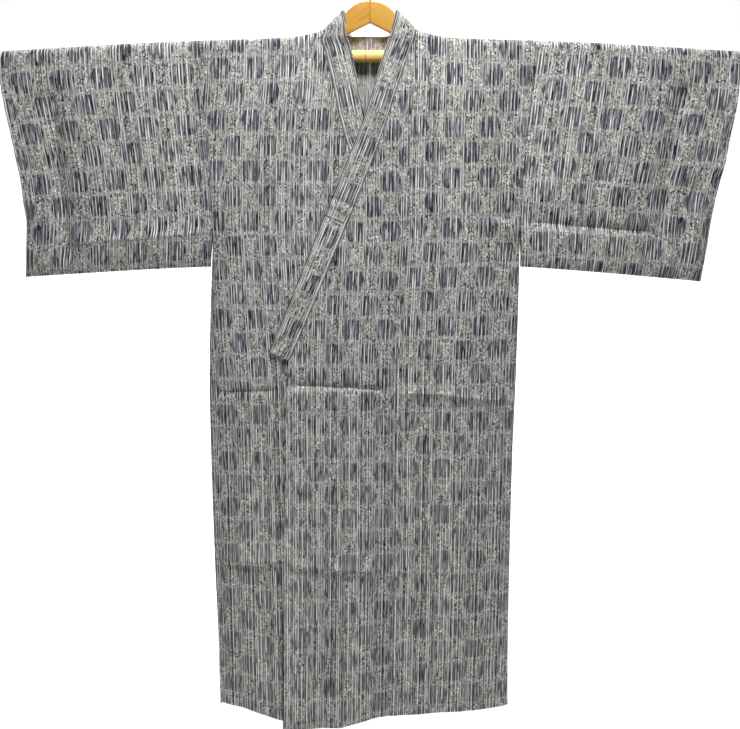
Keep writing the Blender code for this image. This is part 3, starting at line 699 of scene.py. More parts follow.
def front_rows(side, shares, levels):
    level, share = levels[:, None], shares[None, :]
    inner, _ = edge_place(side, level, overlap_seam)
    inner = inner + side * SEAM_GAP
    outer = side_seam(side, row_height(side * SHOULDER_SIDE_X, level, front_hem(side)))
    x = outer + (inner - outer) * share
    z = row_height(x, level, front_hem(side))
    depth = front_depth(side, x, z) - seam_dip(x - inner)
    depth = depth - seam_dip(outer - x) * (1 - smooth((ARMHOLE_END - z) / CLOSE_RUN))
    depth = closed(depth, side_share(side, x, z))
    across = side * (x - grain_line(side, z))
    return stacked(x, -depth, z), across, level


def back_rows(side, shares, levels):
    """A share over 1 goes on from the neck's side to the centre back seam."""
    level, share = levels[:, None], shares[None, :]
    outer = side_seam(side, level)
    centre = CENTRE_BACK_SHIFT * smooth((CENTRE_START - level) / CENTRE_RUN) + side * SEAM_GAP / 2
    inner = side * BACK_NECK_X
    x = outer + (inner - outer) * np.minimum(share, 1.0)
    x = np.where(share > 1, inner + (centre - inner) * (share - 1), x)
    z = row_height(x, level, lambda _: BACK_HEM)
    depth = back_depth(x, z) - seam_dip(x - centre)
    depth = depth - seam_dip(outer - x) * (1 - smooth((ARMHOLE_END - z) / CLOSE_RUN))
    depth = closed(depth, side_share(side, x, z))
    return stacked(x, depth, z), side * (x - centre) - BACK_NECK_X, back_run(level)


def fold_rows(side, shares, angles, front_inner):
    """The body's rows over the shoulder, from the front to the back."""
    table = [row[:2] for row in NECK_TURN] + [(90, abs(front_inner)), (-90, BACK_NECK_X)]
    angle = angles[:, None]
    outer = side_seam(side, SHOULDER_SIDE_Z)
    inner = side * curve(table, angle)
    x = outer + (inner - outer) * shares[None, :]
    across = np.abs(x) - abs(float(grain_line(side, TOP_LEVEL)))
    return fold_point(x, angle), across, fold_run(angle)


def pattern_place(name, known, across, run):
    """Cloth coordinates in metres, with a hexagon of the lattice at the origin."""
    _, height, gather = LATTICE_PLACE[name]
    return stacked((across - known) * gather, run - height)


def neighbour(points, axis, step, ring):
    """The next point of each along an axis, or the point itself past an edge or a gap."""
    other = np.roll(points, -step, axis=axis)
    if not (ring and axis == 0):
        edge = [slice(None)] * 3
        edge[axis] = -1 if step > 0 else 0
        other[tuple(edge)] = points[tuple(edge)]
    return np.where(np.isnan(other), points, other)


def grid_normals(points, ring=False):
    along = neighbour(points, 0, 1, ring) - neighbour(points, 0, -1, ring)
    across = neighbour(points, 1, 1, ring) - neighbour(points, 1, -1, ring)
    normals = np.cross(across, along)
    return normals / np.maximum(np.linalg.norm(normals, axis=-1, keepdims=True), 1e-12)


def cloth_piece(name, points, places, thickness, materials, ring=False, flipped=False):
    """A thin closed piece of cloth round a grid of points, outside first, with its UV map.

    Points that are not a number are left out. In a ring the last row meets the first again.
    """
    rows, columns = points.shape[:2]
    thickness = np.broadcast_to(thickness, (rows, columns))[..., None]
    offset = grid_normals(points, ring) * thickness / 2 * (-1 if flipped else 1)
    exists = ~np.isnan(points[..., 0])
    index = np.full((rows, columns), -1)
    index[exists] = np.arange(exists.sum())
    count = int(exists.sum())
    vertices = np.concatenate(((points + offset)[exists], (points - offset)[exists]))
    after = np.roll(index, -1, axis=0) if ring else index[1:]
    here = index if ring else index[:-1]
    corners = np.stack((here[:, :-1], after[:, :-1], after[:, 1:], here[:, 1:]), axis=-1)
    whole = (corners >= 0).all(axis=-1)
    quads = corners[whole]
    if not flipped:
        quads = quads[:, ::-1]
    edges = np.concatenate([quads[:, [k, (k + 1) % 4]] for k in range(4)])
    keys = edges[:, 0] * count + edges[:, 1]
    single = edges[~np.isin(edges[:, 1] * count + edges[:, 0], keys)]
    rims = np.stack((single[:, 1], single[:, 0], single[:, 0] + count, single[:, 1] + count), axis=-1)
    faces = np.concatenate((quads, quads[:, ::-1] + count, rims))
    mesh = bpy.data.meshes.new(name)
    mesh.from_pydata(vertices.tolist(), [], faces.tolist())
    slots = np.repeat((0, 1, 0), (len(quads), len(quads), len(rims)))
    mesh.polygons.foreach_set("material_index", slots)
    layer = mesh.uv_layers.new(name="cloth")
    flat = np.concatenate((places[exists], places[exists]))
    loops = np.empty(len(mesh.loops), int)
    mesh.loops.foreach_get("vertex_index", loops)
    layer.data.foreach_set("uv", flat[loops].ravel())
    return placed(name, mesh, materials)


def linked(name, data):
    thing = bpy.data.objects.new(name, data)
    bpy.context.scene.collection.objects.link(thing)
    return thing


def placed(name, mesh, materials, sharp=50):
    mesh.shade_smooth()
    mesh.set_sharp_from_angle(angle=math.radians(sharp))
    for material in materials:
        mesh.materials.append(material)
    return linked(name, mesh)


def finished(name, mesh, materials):
    """The object of an edited mesh."""
    data = bpy.data.meshes.new(name)
    mesh.to_mesh(data)
    mesh.free()
    return placed(name, data, materials, sharp=35)


def across_at(name, side):
    """Distance of a piece's known hexagon from the piece's own seam."""
    x, height, _ = LATTICE_PLACE[name]
    return side * (x - float(grain_line(side, height)))


def body(name, side, materials):
    """One length of cloth, from the front hem over the shoulder to the back hem."""
    shares = fine_shares(PANEL_WIDTH)
    neck = 1 + spread(0.0, 1.0, CLOTH_STEP / BACK_NECK_X)[1:]
    levels = fine_levels()
    front, front_across, run_front = front_rows(side, shares, levels)
    angles = np.arange(90 - FOLD_ANGLE_STEP, -90, -FOLD_ANGLE_STEP)
    fold, fold_across, run_fold = fold_rows(side, shares, angles, front[-1, -1, 0])
    back, back_across, run_back = back_rows(side, np.concatenate((shares, neck)), levels[::-1])

    def widened(rows):
        return np.pad(rows, ((0, 0), (0, len(neck))) + ((0, 0),) * (rows.ndim - 2),
                      constant_values=np.nan)

    points = np.concatenate((widened(front), widened(fold), back))
    across = np.concatenate((widened(front_across), widened(fold_across), back_across))
    run = np.concatenate((run_front, run_fold, run_back))
    places = pattern_place(name, across_at(name, side), across, run)
    thickness = np.concatenate((
        hem_thickness(levels), np.full(len(angles), CLOTH), hem_thickness(levels[::-1])))[:, None]
    return cloth_piece(name, points, places, thickness, materials, flipped=side == RIGHT)


def overlap(name, side, materials):
    """The front overlap, between its seam on the body and the collar or the free edge."""
    levels = fine_levels()
    level, share = levels[:, None], fine_shares(PANEL_WIDTH)[None, :]
    seam, _ = edge_place(side, level, overlap_seam)
    edge, _ = edge_place(side, level, front_line)
    edge = edge + side * SEAM_GAP
    x = seam + (edge - seam) * share
    z = row_height(x, level, front_hem(side))
    depth = front_depth(side, x, z) - seam_dip(x - seam)
    across = side * (x - grain_line(side, z))
    places = pattern_place(name, across_at(name, side), across, level)
    free = smooth((COLLAR_END - level) / FREE_EDGE_RUN)
    free = free * smooth((HEM_WIDTH - np.abs(x - edge)) / HEM_RUN)
    thickness = np.maximum(hem_thickness(level), CLOTH + HEM_EXTRA * free)
    return cloth_piece(name, stacked(x, -depth, z), places, thickness, materials, flipped=side == RIGHT)


def sleeve_rows(side, shares, levels, face):
    """Rows of the sleeve from armhole to cuff, face -1 in front and 1 behind."""
    level, share = levels[:, None], shares[None, :]
    fallen = (TOP_LEVEL - level) / SLEEVE_DROP
    top_x = SHOULDER_SIDE_X + (SLEEVE_TIP_X - SHOULDER_SIDE_X) * share
    z = level + shoulder(top_x) - SHOULDER_SIDE_Z - SLEEVE_SAG[side] * share * fallen
    apart = SEAM_GAP + SLEEVE_BODY_GAP * smooth((ARMHOLE_END - level) / SLEEVE_BODY_RUN)
    inner = side_seam(side, level) + side * apart
    cuff = side * curve(CUFF, SHOULDER_SIDE_Z - level, side_column(side))
    x = inner + (cuff - inner) * share
    depth = front_depth(side, x, z) if face < 0 else back_depth(x, z)
    inner_pull = smooth((ARMHOLE_END - level) / CLOSE_RUN)
    cuff_pull = smooth((CUFF_OPENING_END - level) / CLOSE_RUN)
    depth = depth - seam_dip(x - inner) * (1 - inner_pull)
    open_share = 1 - inner_pull * (1 - rounded(np.abs(x - inner), SLEEVE_END_ROUND))
    open_share = open_share * (1 - cuff_pull * (1 - rounded(np.abs(cuff - x), SLEEVE_END_ROUND)))
    open_share = open_share * rounded(level - SLEEVE_BOTTOM, SIDE_ROUND)
    return stacked(x, face * closed(depth, open_share), z)


def sleeve(name, side, materials):
    """One piece of cloth, folded over the top and round the bottom into a flat tube."""
    width = SLEEVE_TIP_X - SHOULDER_SIDE_X
    shares = fine_shares(width)
    bottom = SLEEVE_BOTTOM + np.array(RIM_STEPS[1:])
    start, end = SLEEVE_CREASE_ZONE
    levels = np.concatenate((
        bottom, spread(bottom[-1], start, CREASE_STEP)[1:], spread(start, end, CREASE_STEP)[1:],
        spread(end, TOP_LEVEL, CLOTH_STEP)[1:]))[::-1]
    front = sleeve_rows(side, shares, levels, -1)
    lowest = sleeve_rows(side, shares, np.array((SLEEVE_BOTTOM,)), -1)
    lowest[..., 1] = 0.0
    back = sleeve_rows(side, shares, levels[::-1], 1)
    angles = np.arange(-90 + FOLD_ANGLE_STEP, 90, FOLD_ANGLE_STEP)
    armhole = side_seam(side, SHOULDER_SIDE_Z) + side * SEAM_GAP
    cuff = side * curve(CUFF, 0.0, side_column(side))
    fold = fold_point(armhole + (cuff - armhole) * shares[None, :], angles[:, None])
    points = np.concatenate((front, lowest, back, fold))
    behind = back_run(levels[::-1]) - back_run(SLEEVE_BOTTOM) + SLEEVE_BOTTOM
    run = np.concatenate((levels, (SLEEVE_BOTTOM,), behind, fold_run(angles)))
    known = abs(LATTICE_PLACE[name][0]) - SHOULDER_SIDE_X
    places = pattern_place(name, known, shares[None, :] * width, run[:, None])
    hem = smooth((HEM_WIDTH - (1 - shares) * width) / HEM_RUN)[None, :]
    return cloth_piece(name, points, places, CLOTH + HEM_EXTRA * hem, materials, ring=True,
                       flipped=side == RIGHT)


def band_stations(side):
    """Places, directions and widths of the collar, from its end up to the centre back."""
    levels = np.array([z for z in COLLAR_LEVELS if z >= COLLAR_END])[::-1]
    x, z = edge_place(side, levels, front_line)
    places = stacked(x, -front_depth(side, x, z), z)
    along = unit(np.gradient(places, axis=0))
    inward = stacked(-side * along[:, 2], 0.0, side * along[:, 0])
    lean = curve(BAND, z, side_column(side) + 2)[:, None]
    front = inward * np.sqrt(1 - lean ** 2) + lean * np.array((0.0, -1.0, 0.0))
    turn = unit(np.array([(-side * row[2], row[3], row[4]) for row in NECK_TURN]))
    over = np.array([fold_point(side * row[1], row[0]) for row in NECK_TURN]) + turn * NECK_GAP
    behind = unit(np.array([(-side * row[1], row[2], row[3]) for row in BACK_TURN]))
    back = np.array([fold_point(side * BACK_NECK_X * (1 - row[0]), -90) for row in BACK_TURN])
    back = back + np.array(BACK_NECK_RISE) + behind * NECK_GAP
    widths = curve(BAND, z, side_column(side))
    neck_widths = np.full(len(NECK_TURN) + len(BACK_TURN), COLLAR_WIDTH)
    return (
        np.concatenate((places, over, back)), np.concatenate((front, turn, behind)),
        np.concatenate((widths, neck_widths)),
    )


def along_lengths(points):
    """Length of the way to each point from the first one of its row."""
    steps = np.linalg.norm(np.diff(points, axis=-2), axis=-1)
    return np.concatenate((np.zeros(steps.shape[:-1] + (1,)), np.cumsum(steps, axis=-1)), axis=-1)


def collar_relief(run, end):
    """Small waves of the band, and the cross folds above the end of the outer collar."""
    share = np.array(BAND_COLUMNS)[None, :]
    (rise, length, phase), (small_rise, small_length, lean) = BAND_WAVES
    relief = (
        rise * np.sin(2 * math.pi * run / length + phase) * np.sin(math.pi * share)
        + small_rise * np.sin(2 * math.pi * run / small_length + lean * share)
    )
    for before, rise, width in BAND_FOLDS:
        relief = relief + rise * np.exp(-((run - end + before) / width) ** 2)
    return relief


def collar_grid():
    """Points of the collar's rows, their normals, the rows' lengths and which are wrapped."""
    left, right = band_stations(LEFT), band_stations(RIGHT)
    places, directions, widths = [
        np.concatenate((one, other[:-1][::-1])) for one, other in zip(left, right)
    ]
    keys = along_lengths(places)
    lengths = spread(0.0, keys[-1], BAND_STEP)

    def fine(values):
        return hermite(keys, values, np.gradient(values, keys, axis=0), lengths)

    ways = unit(fine(directions)) * fine(widths[:, None])
    grid = fine(places)[:, None, :] + ways[:, None, :] * np.array(BAND_COLUMNS)[None, :, None]
    wrapped = grid[:, 0, 2] >= COLLAR_WRAP_END
    normals = grid_normals(grid)
    relief = collar_relief(lengths[:, None], lengths[wrapped][-1])
    return grid + normals * relief[..., None], normals, lengths, wrapped


def collar(name, points, lengths, materials):
    share = np.array(BAND_COLUMNS)[None, :]
    inside = smooth(np.minimum(share, 1 - share) / COLLAR_EDGE_SHARE)
    thickness = COLLAR_EDGE_CLOTH + (COLLAR_CLOTH - COLLAR_EDGE_CLOTH) * inside
    places = stacked((share - 0.5) * COLLAR_WIDTH, lengths[:, None] + COLLAR_PHASE)
    return cloth_piece(name, points, places, thickness, materials)


def collar_wrap(name, points, normals, runs, materials):
    """The short outer collar: it wraps the band's two faces and its free edge."""
    points, normals = points[:, WRAP_COLUMN:], normals[:, WRAP_COLUMN:]
    out = unit(points[:, -1] - points[:, 0])
    one = points + normals * WRAP_LIFT
    other = (points - normals * WRAP_LIFT)[:, ::-1]
    turns = [
        points[:, -1] + WRAP_LIFT * (normals[:, -1] * math.cos(turn) + out * math.sin(turn))
        for turn in np.radians(np.linspace(0, 180, WRAP_TURNS + 1)[1:-1])
    ]
    rows = np.concatenate((one, np.stack(turns, axis=1), other), axis=1)
    width = along_lengths(rows) + (BAND_COLUMNS[WRAP_COLUMN] - 0.5) * COLLAR_WIDTH
    to_end = np.minimum(runs - runs[0], runs[-1] - runs)[:, None]
    thickness = WRAP_CLOTH + WRAP_HEM_EXTRA * smooth((WRAP_HEM - to_end) / WRAP_HEM_RUN)
    return cloth_piece(name, rows, stacked(width, runs[:, None] + COLLAR_PHASE), thickness, materials)


def circle(centre, radius, first, second, sides):
    """Points round a centre, in the plane of two directions."""
    turns = np.linspace(0, 2 * math.pi, sides, endpoint=False)
    return [centre + radius * (first * math.cos(turn) + second * math.sin(turn)) for turn in turns]


def solid(name, rings, materials):
    """A closed solid over a list of rings, with a flat cap at each end."""
    mesh = bmesh.new()
    loops = [[mesh.verts.new(point) for point in ring] for ring in rings]
    count = len(loops[0])
    for low, high in zip(loops, loops[1:]):
        for k in range(count):
            mesh.faces.new((low[k], low[(k + 1) % count], high[(k + 1) % count], high[k]))
    mesh.faces.new(loops[0][::-1])
    mesh.faces.new(loops[-1])
    bmesh.ops.recalc_face_normals(mesh, faces=mesh.faces[:])
    return finished(name, mesh, materials)


def dome_arc():
    """The round top of the hanger, from its right corner over to its left one."""
    half = math.asin(DOME_CORNER_X / DOME_RADIUS)
    for step in range(DOME_STEPS + 1):
        turn = half - 2 * half * step / DOME_STEPS
        yield DOME_RADIUS * math.sin(turn), DOME_TOP - DOME_RADIUS + DOME_RADIUS * math.cos(turn)


def cutter(name, start, end, radius, sides):
    """A round bar that only cuts its neighbour."""
    start, end = np.array(start), np.array(end)
    axis = (end - start) / np.linalg.norm(end - start)
    across = np.cross(axis, (0.0, 1.0, 0.0))
    other = np.cross(axis, across)
    return solid(name, [circle(centre, radius, across, other, sides) for centre in (start, end)], [])


def hanger_arms(name, material):
    right = list(ARM_OUTLINE)
    left = [(-x, z) for x, z in reversed(ARM_OUTLINE[1:])]
    outline = right + list(dome_arc()) + left
    mesh = bmesh.new()
    face = mesh.faces.new([mesh.verts.new((x, -ARM_HALF_DEPTH, z)) for x, z in outline])
    grown = bmesh.ops.extrude_face_region(mesh, geom=[face])["geom"]
    moved = [item for item in grown if isinstance(item, bmesh.types.BMVert)]
    bmesh.ops.translate(mesh, verts=moved, vec=(0.0, 2 * ARM_HALF_DEPTH, 0.0))
    bmesh.ops.recalc_face_normals(mesh, faces=mesh.faces[:])
    rims = [edge for edge in mesh.edges if len({round(v.co.y, 5) for v in edge.verts}) == 1]
    bmesh.ops.bevel(mesh, geom=rims, offset=ARM_ROUND, segments=4, profile=0.5, affect="EDGES")
    thing = finished(name, mesh, [material])
    bars = (
        cutter("rod_seat", (-SEAT_REACH, 0.0, ROD_HEIGHT), (SEAT_REACH, 0.0, ROD_HEIGHT),
               ROD_RADIUS + FIT_GAP, ROD_SIDES),
        cutter("hook_hole", (0.0, 0.0, DOME_TOP - HOOK_HOLE_DEPTH), (0.0, 0.0, DOME_TOP + HOLE_REACH),
               HOOK_WIRE + FIT_GAP, HOOK_SIDES),
    )
    for bar in bars:
        cut = thing.modifiers.new(bar.name, "BOOLEAN")
        cut.operation = "DIFFERENCE"
        cut.object = bar
    shaped = bpy.data.meshes.new_from_object(thing.evaluated_get(bpy.context.evaluated_depsgraph_get()))
    thing.modifiers.clear()
    thing.data = shaped
    shaped.name = name
    for bar in bars:
        bpy.data.objects.remove(bar)
    return thing


def hanger_rod(name, material):
    """A round pole in two lengths, with a fine groove where they join."""
    end, rounding = ROD_HALF_LENGTH, ROD_ROUNDING * ROD_CHAMFER
    profile = (
        (-end, ROD_RADIUS - ROD_CHAMFER), (-end + rounding, ROD_RADIUS - rounding),
        (-end + ROD_CHAMFER, ROD_RADIUS), (ROD_JOINT_X - ROD_GROOVE, ROD_RADIUS),
        (ROD_JOINT_X, ROD_RADIUS - ROD_GROOVE), (ROD_JOINT_X + ROD_GROOVE, ROD_RADIUS),
        (end - ROD_CHAMFER, ROD_RADIUS), (end - rounding, ROD_RADIUS - rounding),
        (end, ROD_RADIUS - ROD_CHAMFER),
    )
    back, up = np.array((0.0, 1.0, 0.0)), np.array((0.0, 0.0, 1.0))
    rings = [
        circle(np.array((x, 0.0, ROD_HEIGHT)), radius, back, up, ROD_SIDES) for x, radius in profile
    ]
    return solid(name, rings, [material])


def hook_path():
    """Middle of the hook's wire: a stem, a small bend and a large open round."""
    centre = HOOK_WIRE - HOOK_RADIUS
    start = math.radians(HOOK_START_ANGLE)
    turn = -start
    foot = centre + HOOK_RADIUS * math.sin(start) - HOOK_FILLET * math.sin(turn)
    points = [(0.0, 0.0, HOOK_FOOT), (0.0, 0.0, foot)]
    for bend in np.linspace(0.0, turn, HOOK_FILLET_STEPS)[1:-1]:
        points.append((HOOK_FILLET * (1 - math.cos(bend)), 0.0, foot + HOOK_FILLET * math.sin(bend)))
    for angle in np.radians(np.linspace(HOOK_START_ANGLE, HOOK_END_ANGLE, HOOK_STEPS)):
        points.append((HOOK_RADIUS * math.cos(angle), 0.0, centre + HOOK_RADIUS * math.sin(angle)))
    return np.array(points)


def hanger_hook(name, material):
    """The wire, with a small rounded tip at its free end."""
    points = hook_path()
    along = unit(np.gradient(points, axis=0))
    across = np.array((0.0, 1.0, 0.0))
    radii = np.full(len(points), HOOK_WIRE)
    radii[-1] = HOOK_TIP * HOOK_WIRE
    rings = [
        circle(point, radius, across, np.cross(way, across), HOOK_SIDES)
        for point, way, radius in zip(points, along, radii)
    ]
    return solid(name, rings, [material])


def screen(red, green, blue):
    """A colour in 0 to 255 as it looks on a screen, as linear light with its alpha."""
    shares = [value / 255 for value in (red, green, blue)]
    return (*(s / 12.92 if s <= 0.04045 else ((s + 0.055) / 1.055) ** 2.4 for s in shares), 1.0)


def operation(name):
    """A method that adds a math node of this kind."""
    return lambda *values: values[0].nodes.math(name, *values)


class Value:
    """An output in a material's node tree; arithmetic with it adds the nodes that are needed."""

    def __init__(self, nodes, socket):
        self.nodes = nodes
        self.socket = socket

    __add__ = operation("ADD")
    __sub__ = operation("SUBTRACT")
    __mul__ = operation("MULTIPLY")
    __truediv__ = operation("DIVIDE")
    __mod__ = operation("FLOORED_MODULO")
    __lt__ = operation("LESS_THAN")
    __gt__ = operation("GREATER_THAN")
    __abs__ = operation("ABSOLUTE")
    __floor__ = operation("FLOOR")

    def __rsub__(self, other):
        return self.nodes.math("SUBTRACT", other, self)

    def clamped(self):
        """The same value, held between 0 and 1."""
        self.socket.node.use_clamp = True
        return self

    def ranged(self, low, added):
        """From low at 0 to low + added at 1."""
        return self * added + low


class Nodes:
    """Short calls for building one material's node tree."""

    def __init__(self, name):
        self.material = bpy.data.materials.new(name)
        self.material.use_nodes = True
        self.tree = self.material.node_tree

    def link(self, value, socket):
        """Link an output to a socket, or give it a number or a screen colour."""
        if isinstance(value, Value):
            self.tree.links.new(value.socket, socket)
        else:
            socket.default_value = screen(*value) if isinstance(value, tuple) else value

    def node(self, kind, inputs, output=0, **settings):
        """One output of a new node with these settings and inputs."""
        node = self.tree.nodes.new("ShaderNode" + kind)
        for name, setting in settings.items():
            setattr(node, name, setting)
        for key, value in inputs.items():
            self.link(value, node.inputs[key])
        return Value(self, node.outputs[output])

    def math(self, name, *values):
        return self.node("Math", dict(enumerate(values)), operation=name)

    def mix(self, factor, one, other):
        return self.node("Mix", {"Factor": factor, 6: one, 7: other}, 2, data_type="RGBA")

    def vector(self, *values):
        return self.node("CombineXYZ", dict(enumerate(values)))

    def white(self, *values):
        """White noise of one or two values."""
        if len(values) == 1:
            return self.node("TexWhiteNoise", {"W": values[0]}, "Value", noise_dimensions="1D")
        return self.node("TexWhiteNoise", {"Vector": self.vector(*values)}, "Value", noise_dimensions="2D")

    def noise(self, vector, scale, detail, roughness=0.5):
        inputs = {"Scale": scale, "Detail": detail, "Roughness": roughness, "Vector": vector}
        return self.node("TexNoise", inputs, "Fac")

    def ramp(self, value, stops, interpolation="LINEAR"):
        colour = self.node("ValToRGB", {"Fac": value}, "Color")
        ramp = colour.socket.node.color_ramp
        ramp.interpolation = interpolation
        while len(ramp.elements) < len(stops):
            ramp.elements.new(1.0)
        for mark, (place, tone) in zip(ramp.elements, stops):
            mark.position = place
            mark.color = screen(*tone)
        return colour

    def share(self, value, low, high):
        """A value's place between low and high, from 0 to 1."""
        return ((value - low) / (high - low)).clamped()

    def split(self, vector):
        part = self.node("SeparateXYZ", {0: vector})
        return [Value(self, socket) for socket in part.socket.node.outputs]

    def place(self):
        """The three coordinates on the object."""
        return self.node("TexCoord", {}, "Object")

    def surface(self, inputs, height=None, distance=0.0, strength=0.0):
        """The material, with its shader's inputs and a bump of this height."""
        shader = self.tree.nodes["Principled BSDF"]
        if height is not None:
            bump = {"Strength": strength, "Distance": distance, "Height": height}
            inputs = {**inputs, "Normal": self.node("Bump", bump, "Normal")}
        for key, value in inputs.items():
            self.link(value, shader.inputs[key])
        return self.material


def lattice(nodes, across, run, thread):
    """Masks of the hexagons, of their pale outlines and of the small marks between them."""
    wander = (nodes.white(thread) - 0.5) * STRIPE_WANDER
    row = math.floor(run / LATTICE_ROW + 0.5)
    down = abs(run - row * LATTICE_ROW + wander)
    moved = across + row % 2.0 * (LATTICE_PITCH / 2)
    beside = abs(moved - math.floor(moved / LATTICE_PITCH + 0.5) * LATTICE_PITCH)
    slanted = beside + down * HEXAGON_SLANT
    inside = nodes.math("MINIMUM", HEXAGON_HALF_HEIGHT - down, HEXAGON_HALF_WIDTH - slanted)
    hexagon = (inside / STRIPE_SOFTNESS + 0.5).clamped()
    outline = (inside / OUTLINE_WIDTH + OUTLINE_START).clamped()
    from_cross = (LATTICE_PITCH / 2 - beside) / MARK_HALF_WIDTH
    from_mark = abs(down - MARK_PLACE) / MARK_HALF_HEIGHT
    near = 1.0 - (from_cross + from_mark)
    return hexagon, outline, near.ranged(MARK_START, MARK_SHARPNESS).clamped()


def long_lines(nodes, across, run, spacing, half_width, seed):
    """Irregular long threads, one in each spacing: where they are and how strong they run."""
    steps = across / spacing
    cell = math.floor(steps)
    own = cell + seed
    place = nodes.white(own).ranged(*LINE_PLACE)
    away = abs(steps - cell - place) * spacing
    chance = nodes.white(own + 0.5)
    wide = chance.ranged(*LINE_WIDTH) * half_width
    line = ((wide - away) / LINE_SOFTNESS + 0.5).clamped()
    slub = nodes.noise(nodes.vector(own * SLUB_SHIFT, run, 0.0), SLUB_SCALE, 2.0)
    slub = nodes.share(slub, *SLUB_RANGE)
    return line * (chance.ranged(*LINE_STRENGTH).clamped() * slub)


def cotton(name, inside, banded=False):
    """Woven cotton: hexagons of navy stripes on a mottled ground, with long pale threads."""
    nodes = Nodes(name)
    across, run, _ = nodes.split(nodes.node("UVMap", {}, "UV", uv_map="cloth"))
    thread = math.floor(across / THREAD)
    hexagon, outline, mark = lattice(nodes, across, run, thread)
    _, _, height = nodes.split(nodes.place())
    worn = nodes.share(height, FADE_START, FADE_END)
    shade = nodes.white(thread, math.floor((run + nodes.white(thread) * DASH) / DASH))
    stripes = nodes.ramp(shade, STRIPE_TONES, "CONSTANT")
    speck = nodes.white(thread, math.floor(run / PICK) + 0.5)
    ground = nodes.ramp(speck, GROUND_TONES, "CONSTANT")
    weft = nodes.white(math.floor(run / WEFT), math.floor(across / WEFT_RUN))
    ground = nodes.mix((weft > WEFT_BARE) * WEFT_STRENGTH, ground, PALE_GROUND)
    ground = nodes.mix(outline * OUTLINE_STRENGTH, ground, PALE_GROUND)
    ground = nodes.mix(mark * MARK_STRENGTH, ground, MARK_TONE)
    faded = 1.0 - worn * WORN_FADE
    dash = (shade < DASH_SHARE) * DASH_STRENGTH
    colour = nodes.mix(nodes.math("MAXIMUM", hexagon * faded, dash), ground, stripes)
    off, on, on_worn = LINES_SHOWN
    lines = (hexagon.ranged(off, on) + worn * on_worn).clamped()
    spacing = BAND_LINE_SPACING if banded else LINE_SPACING
    for tone, half_width, seed in LONG_THREADS:
        threads = long_lines(nodes, across, run, spacing, half_width, seed) * lines
        colour = nodes.mix(threads, colour, tone)
    if banded:
        # Painted seam shadow: a navy line along each edge of the band, with a pale line just inside it
        edge = COLLAR_WIDTH / 2 - abs(across)
        for place, half_width, strength, tone in BAND_SHADOW_AND_PALE_LINES:
            painted_line = abs(edge - place) < half_width
            colour = nodes.mix(painted_line * strength, colour, tone)
    if inside:
        colour = nodes.mix(INSIDE_STRENGTH, colour, INSIDE_TONE)
    weave = nodes.math("SINE", across * WEAVE_TURNS) * nodes.math("SINE", run * WEAVE_TURNS)
    relief = weave * WEAVE_SHARE + (shade + threads)
    return nodes.surface({
        "Base Color": colour, "Roughness": 0.92, "Sheen Weight": 0.12, "Sheen Roughness": 0.5,
        "Specular IOR Level": 0.25,
    }, relief, WEAVE_DEPTH, WEAVE_STRENGTH)


def wood(name, tones, slope, roughness, joint_x):
    """Satin wood with its grain along X, or along the two mitred arms where slope isn't 0."""
    nodes = Nodes(name)
    x, y, z = nodes.split(nodes.place())
    height = z + abs(x) * slope
    shift = nodes.math("SIGN", x) * (GRAIN_SHIFT if slope else 0.0)
    place = nodes.vector(x * GRAIN_STRETCH, y + shift, height)
    broad = nodes.noise(place, GRAIN_SCALES[0], 3.0)
    fine = nodes.noise(place, GRAIN_SCALES[1], 3.0, 0.65)
    colour = nodes.ramp(broad * GRAIN_SHARES[0] + fine * GRAIN_SHARES[1], tones)
    joint = abs(x - joint_x) < JOINT_HALF_WIDTH
    colour = nodes.mix(joint * JOINT_STRENGTH, colour, JOINT_TONE)
    gloss = fine * ROUGHNESS_SPREAD + (roughness - ROUGHNESS_SPREAD / 2)
    inputs = {"Base Color": colour, "Roughness": gloss, "Coat Weight": 0.18, "Coat Roughness": 0.25}
    return nodes.surface(inputs, fine, 0.00025, 0.35)


def polished_wire(name):
    nodes = Nodes(name)
    marks = nodes.noise(nodes.place(), 900.0, 3.0)
    colour = nodes.ramp(marks, WIRE_TONES)
    return nodes.surface({"Base Color": colour, "Roughness": marks.ranged(0.14, 0.14), "Metallic": 1.0})


def area_light(name, place, aim, size, power, spread_angle):
    light = bpy.data.lights.new(name, "AREA")
    light.shape = "RECTANGLE"
    light.size, light.size_y = size
    light.energy = power
    light.spread = math.radians(spread_angle)
    thing = linked(name, light)
    thing.location = place
    way = np.array(aim) - np.array(place)
    flat = math.hypot(way[0], way[1])
    thing.rotation_euler = (math.atan2(flat, -way[2]), 0.0, math.atan2(-way[0], way[1]))


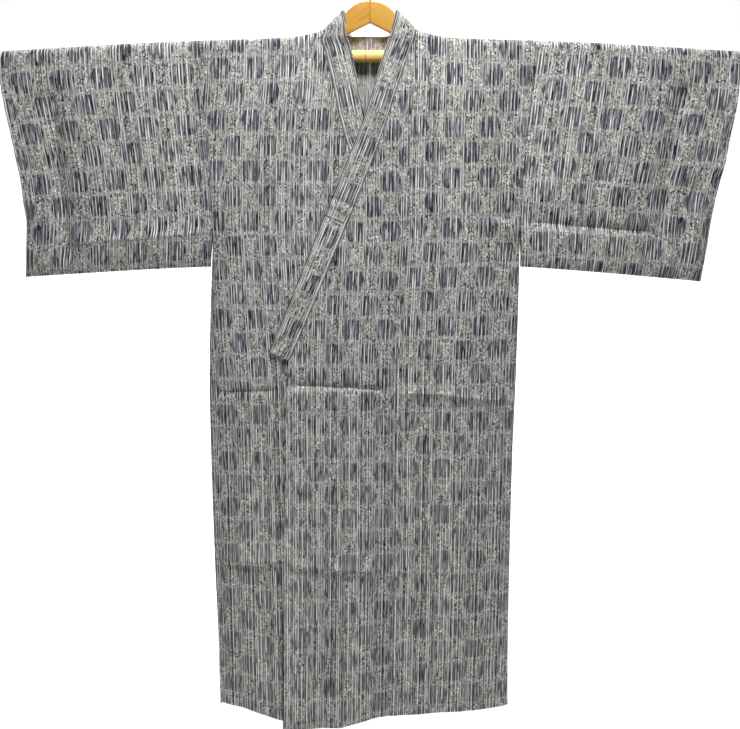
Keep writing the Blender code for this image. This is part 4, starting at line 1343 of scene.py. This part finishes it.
def stage():
    """Pale floor that turns up into a pale backdrop, soft lights and the camera."""
    mesh = bpy.data.meshes.new("floor")
    profile = [(FLOOR_FRONT, FLOOR_Z)]
    for turn in np.radians(np.linspace(0, 90, BACKDROP_STEPS)):
        profile.append((
            BACKDROP_Y - BACKDROP_ROUND * (1 - math.sin(turn)),
            FLOOR_Z + BACKDROP_ROUND * (1 - math.cos(turn))))
    profile.append((BACKDROP_Y, BACKDROP_TOP))
    vertices = [(x, y, z) for y, z in profile for x in (-FLOOR_SIDE, FLOOR_SIDE)]
    faces = [(2 * k, 2 * k + 1, 2 * k + 3, 2 * k + 2) for k in range(len(profile) - 1)]
    mesh.from_pydata(vertices, [], faces)
    paint = Nodes("pale_paint").surface({"Roughness": 0.9})
    paint.node_tree.nodes["Principled BSDF"].inputs["Base Color"].default_value = PAINT
    placed("floor", mesh, [paint])
    for light in LIGHTS:
        area_light(*light)
    world = bpy.data.worlds.new("studio")
    world.use_nodes = True
    sky = world.node_tree.nodes["Background"].inputs
    sky["Color"].default_value = (1.0, 1.0, 1.0, 1.0)
    sky["Strength"].default_value = SKY_STRENGTH
    bpy.context.scene.world = world
    bpy.context.scene.view_settings.view_transform = "Standard"
    camera = bpy.data.cameras.new("camera")
    camera.sensor_fit = "HORIZONTAL"
    camera.sensor_width = 36.0
    camera.lens = CAMERA_LENS
    thing = linked("camera", camera)
    thing.location = (
        0.0, -CAMERA_DISTANCE * math.cos(CAMERA_PITCH),
        CAMERA_AIM + CAMERA_DISTANCE * math.sin(CAMERA_PITCH))
    thing.rotation_euler = (math.pi / 2 - CAMERA_PITCH, 0.0, 0.0)
    bpy.context.scene.camera = thing


def declare(piece, slot, *nodes):
    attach(piece, "root")
    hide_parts(*nodes)


def main():
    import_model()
    stage()
    cloth = [cotton("cotton_outside", False), cotton("cotton_inside", True)]
    band_cloth = [cotton("cotton_band", False, banded=True), cloth[1]]
    for word, side in SIDES.items():
        length = body("body_" + word, side, cloth)
        declare(length, "cotton", "body_front_" + word, "body_shoulder_" + word, "body_back_" + word)
        lap = overlap("overlap_" + word, side, cloth)
        declare(lap, "cotton", "overlap_" + word)
        tube = sleeve("sleeve_" + word, side, cloth)
        declare(tube, "cotton", "sleeve_" + word)
    points, normals, lengths, wrapped = collar_grid()
    band = collar("collar", points, lengths, band_cloth)
    declare(band, "cotton", "collar")
    wrap = collar_wrap(
        "outer_collar", points[wrapped], normals[wrapped], lengths[wrapped], band_cloth)
    declare(wrap, "cotton", "outer_collar")
    arm_wood = wood("orange_wood", ORANGE_TONES, MITRE_SLOPE, 0.42, 0.0)
    rod_wood = wood("yellow_wood", YELLOW_TONES, 0.0, 0.38, ROD_JOINT_X)
    declare(hanger_arms("hanger_arms", arm_wood), "arm_wood", "hanger_arms")
    declare(hanger_rod("hanger_rod", rod_wood), "rod_wood", "hanger_rod")
    declare(hanger_hook("hanger_hook", polished_wire("wire")), "steel", "hanger_hook")


main()
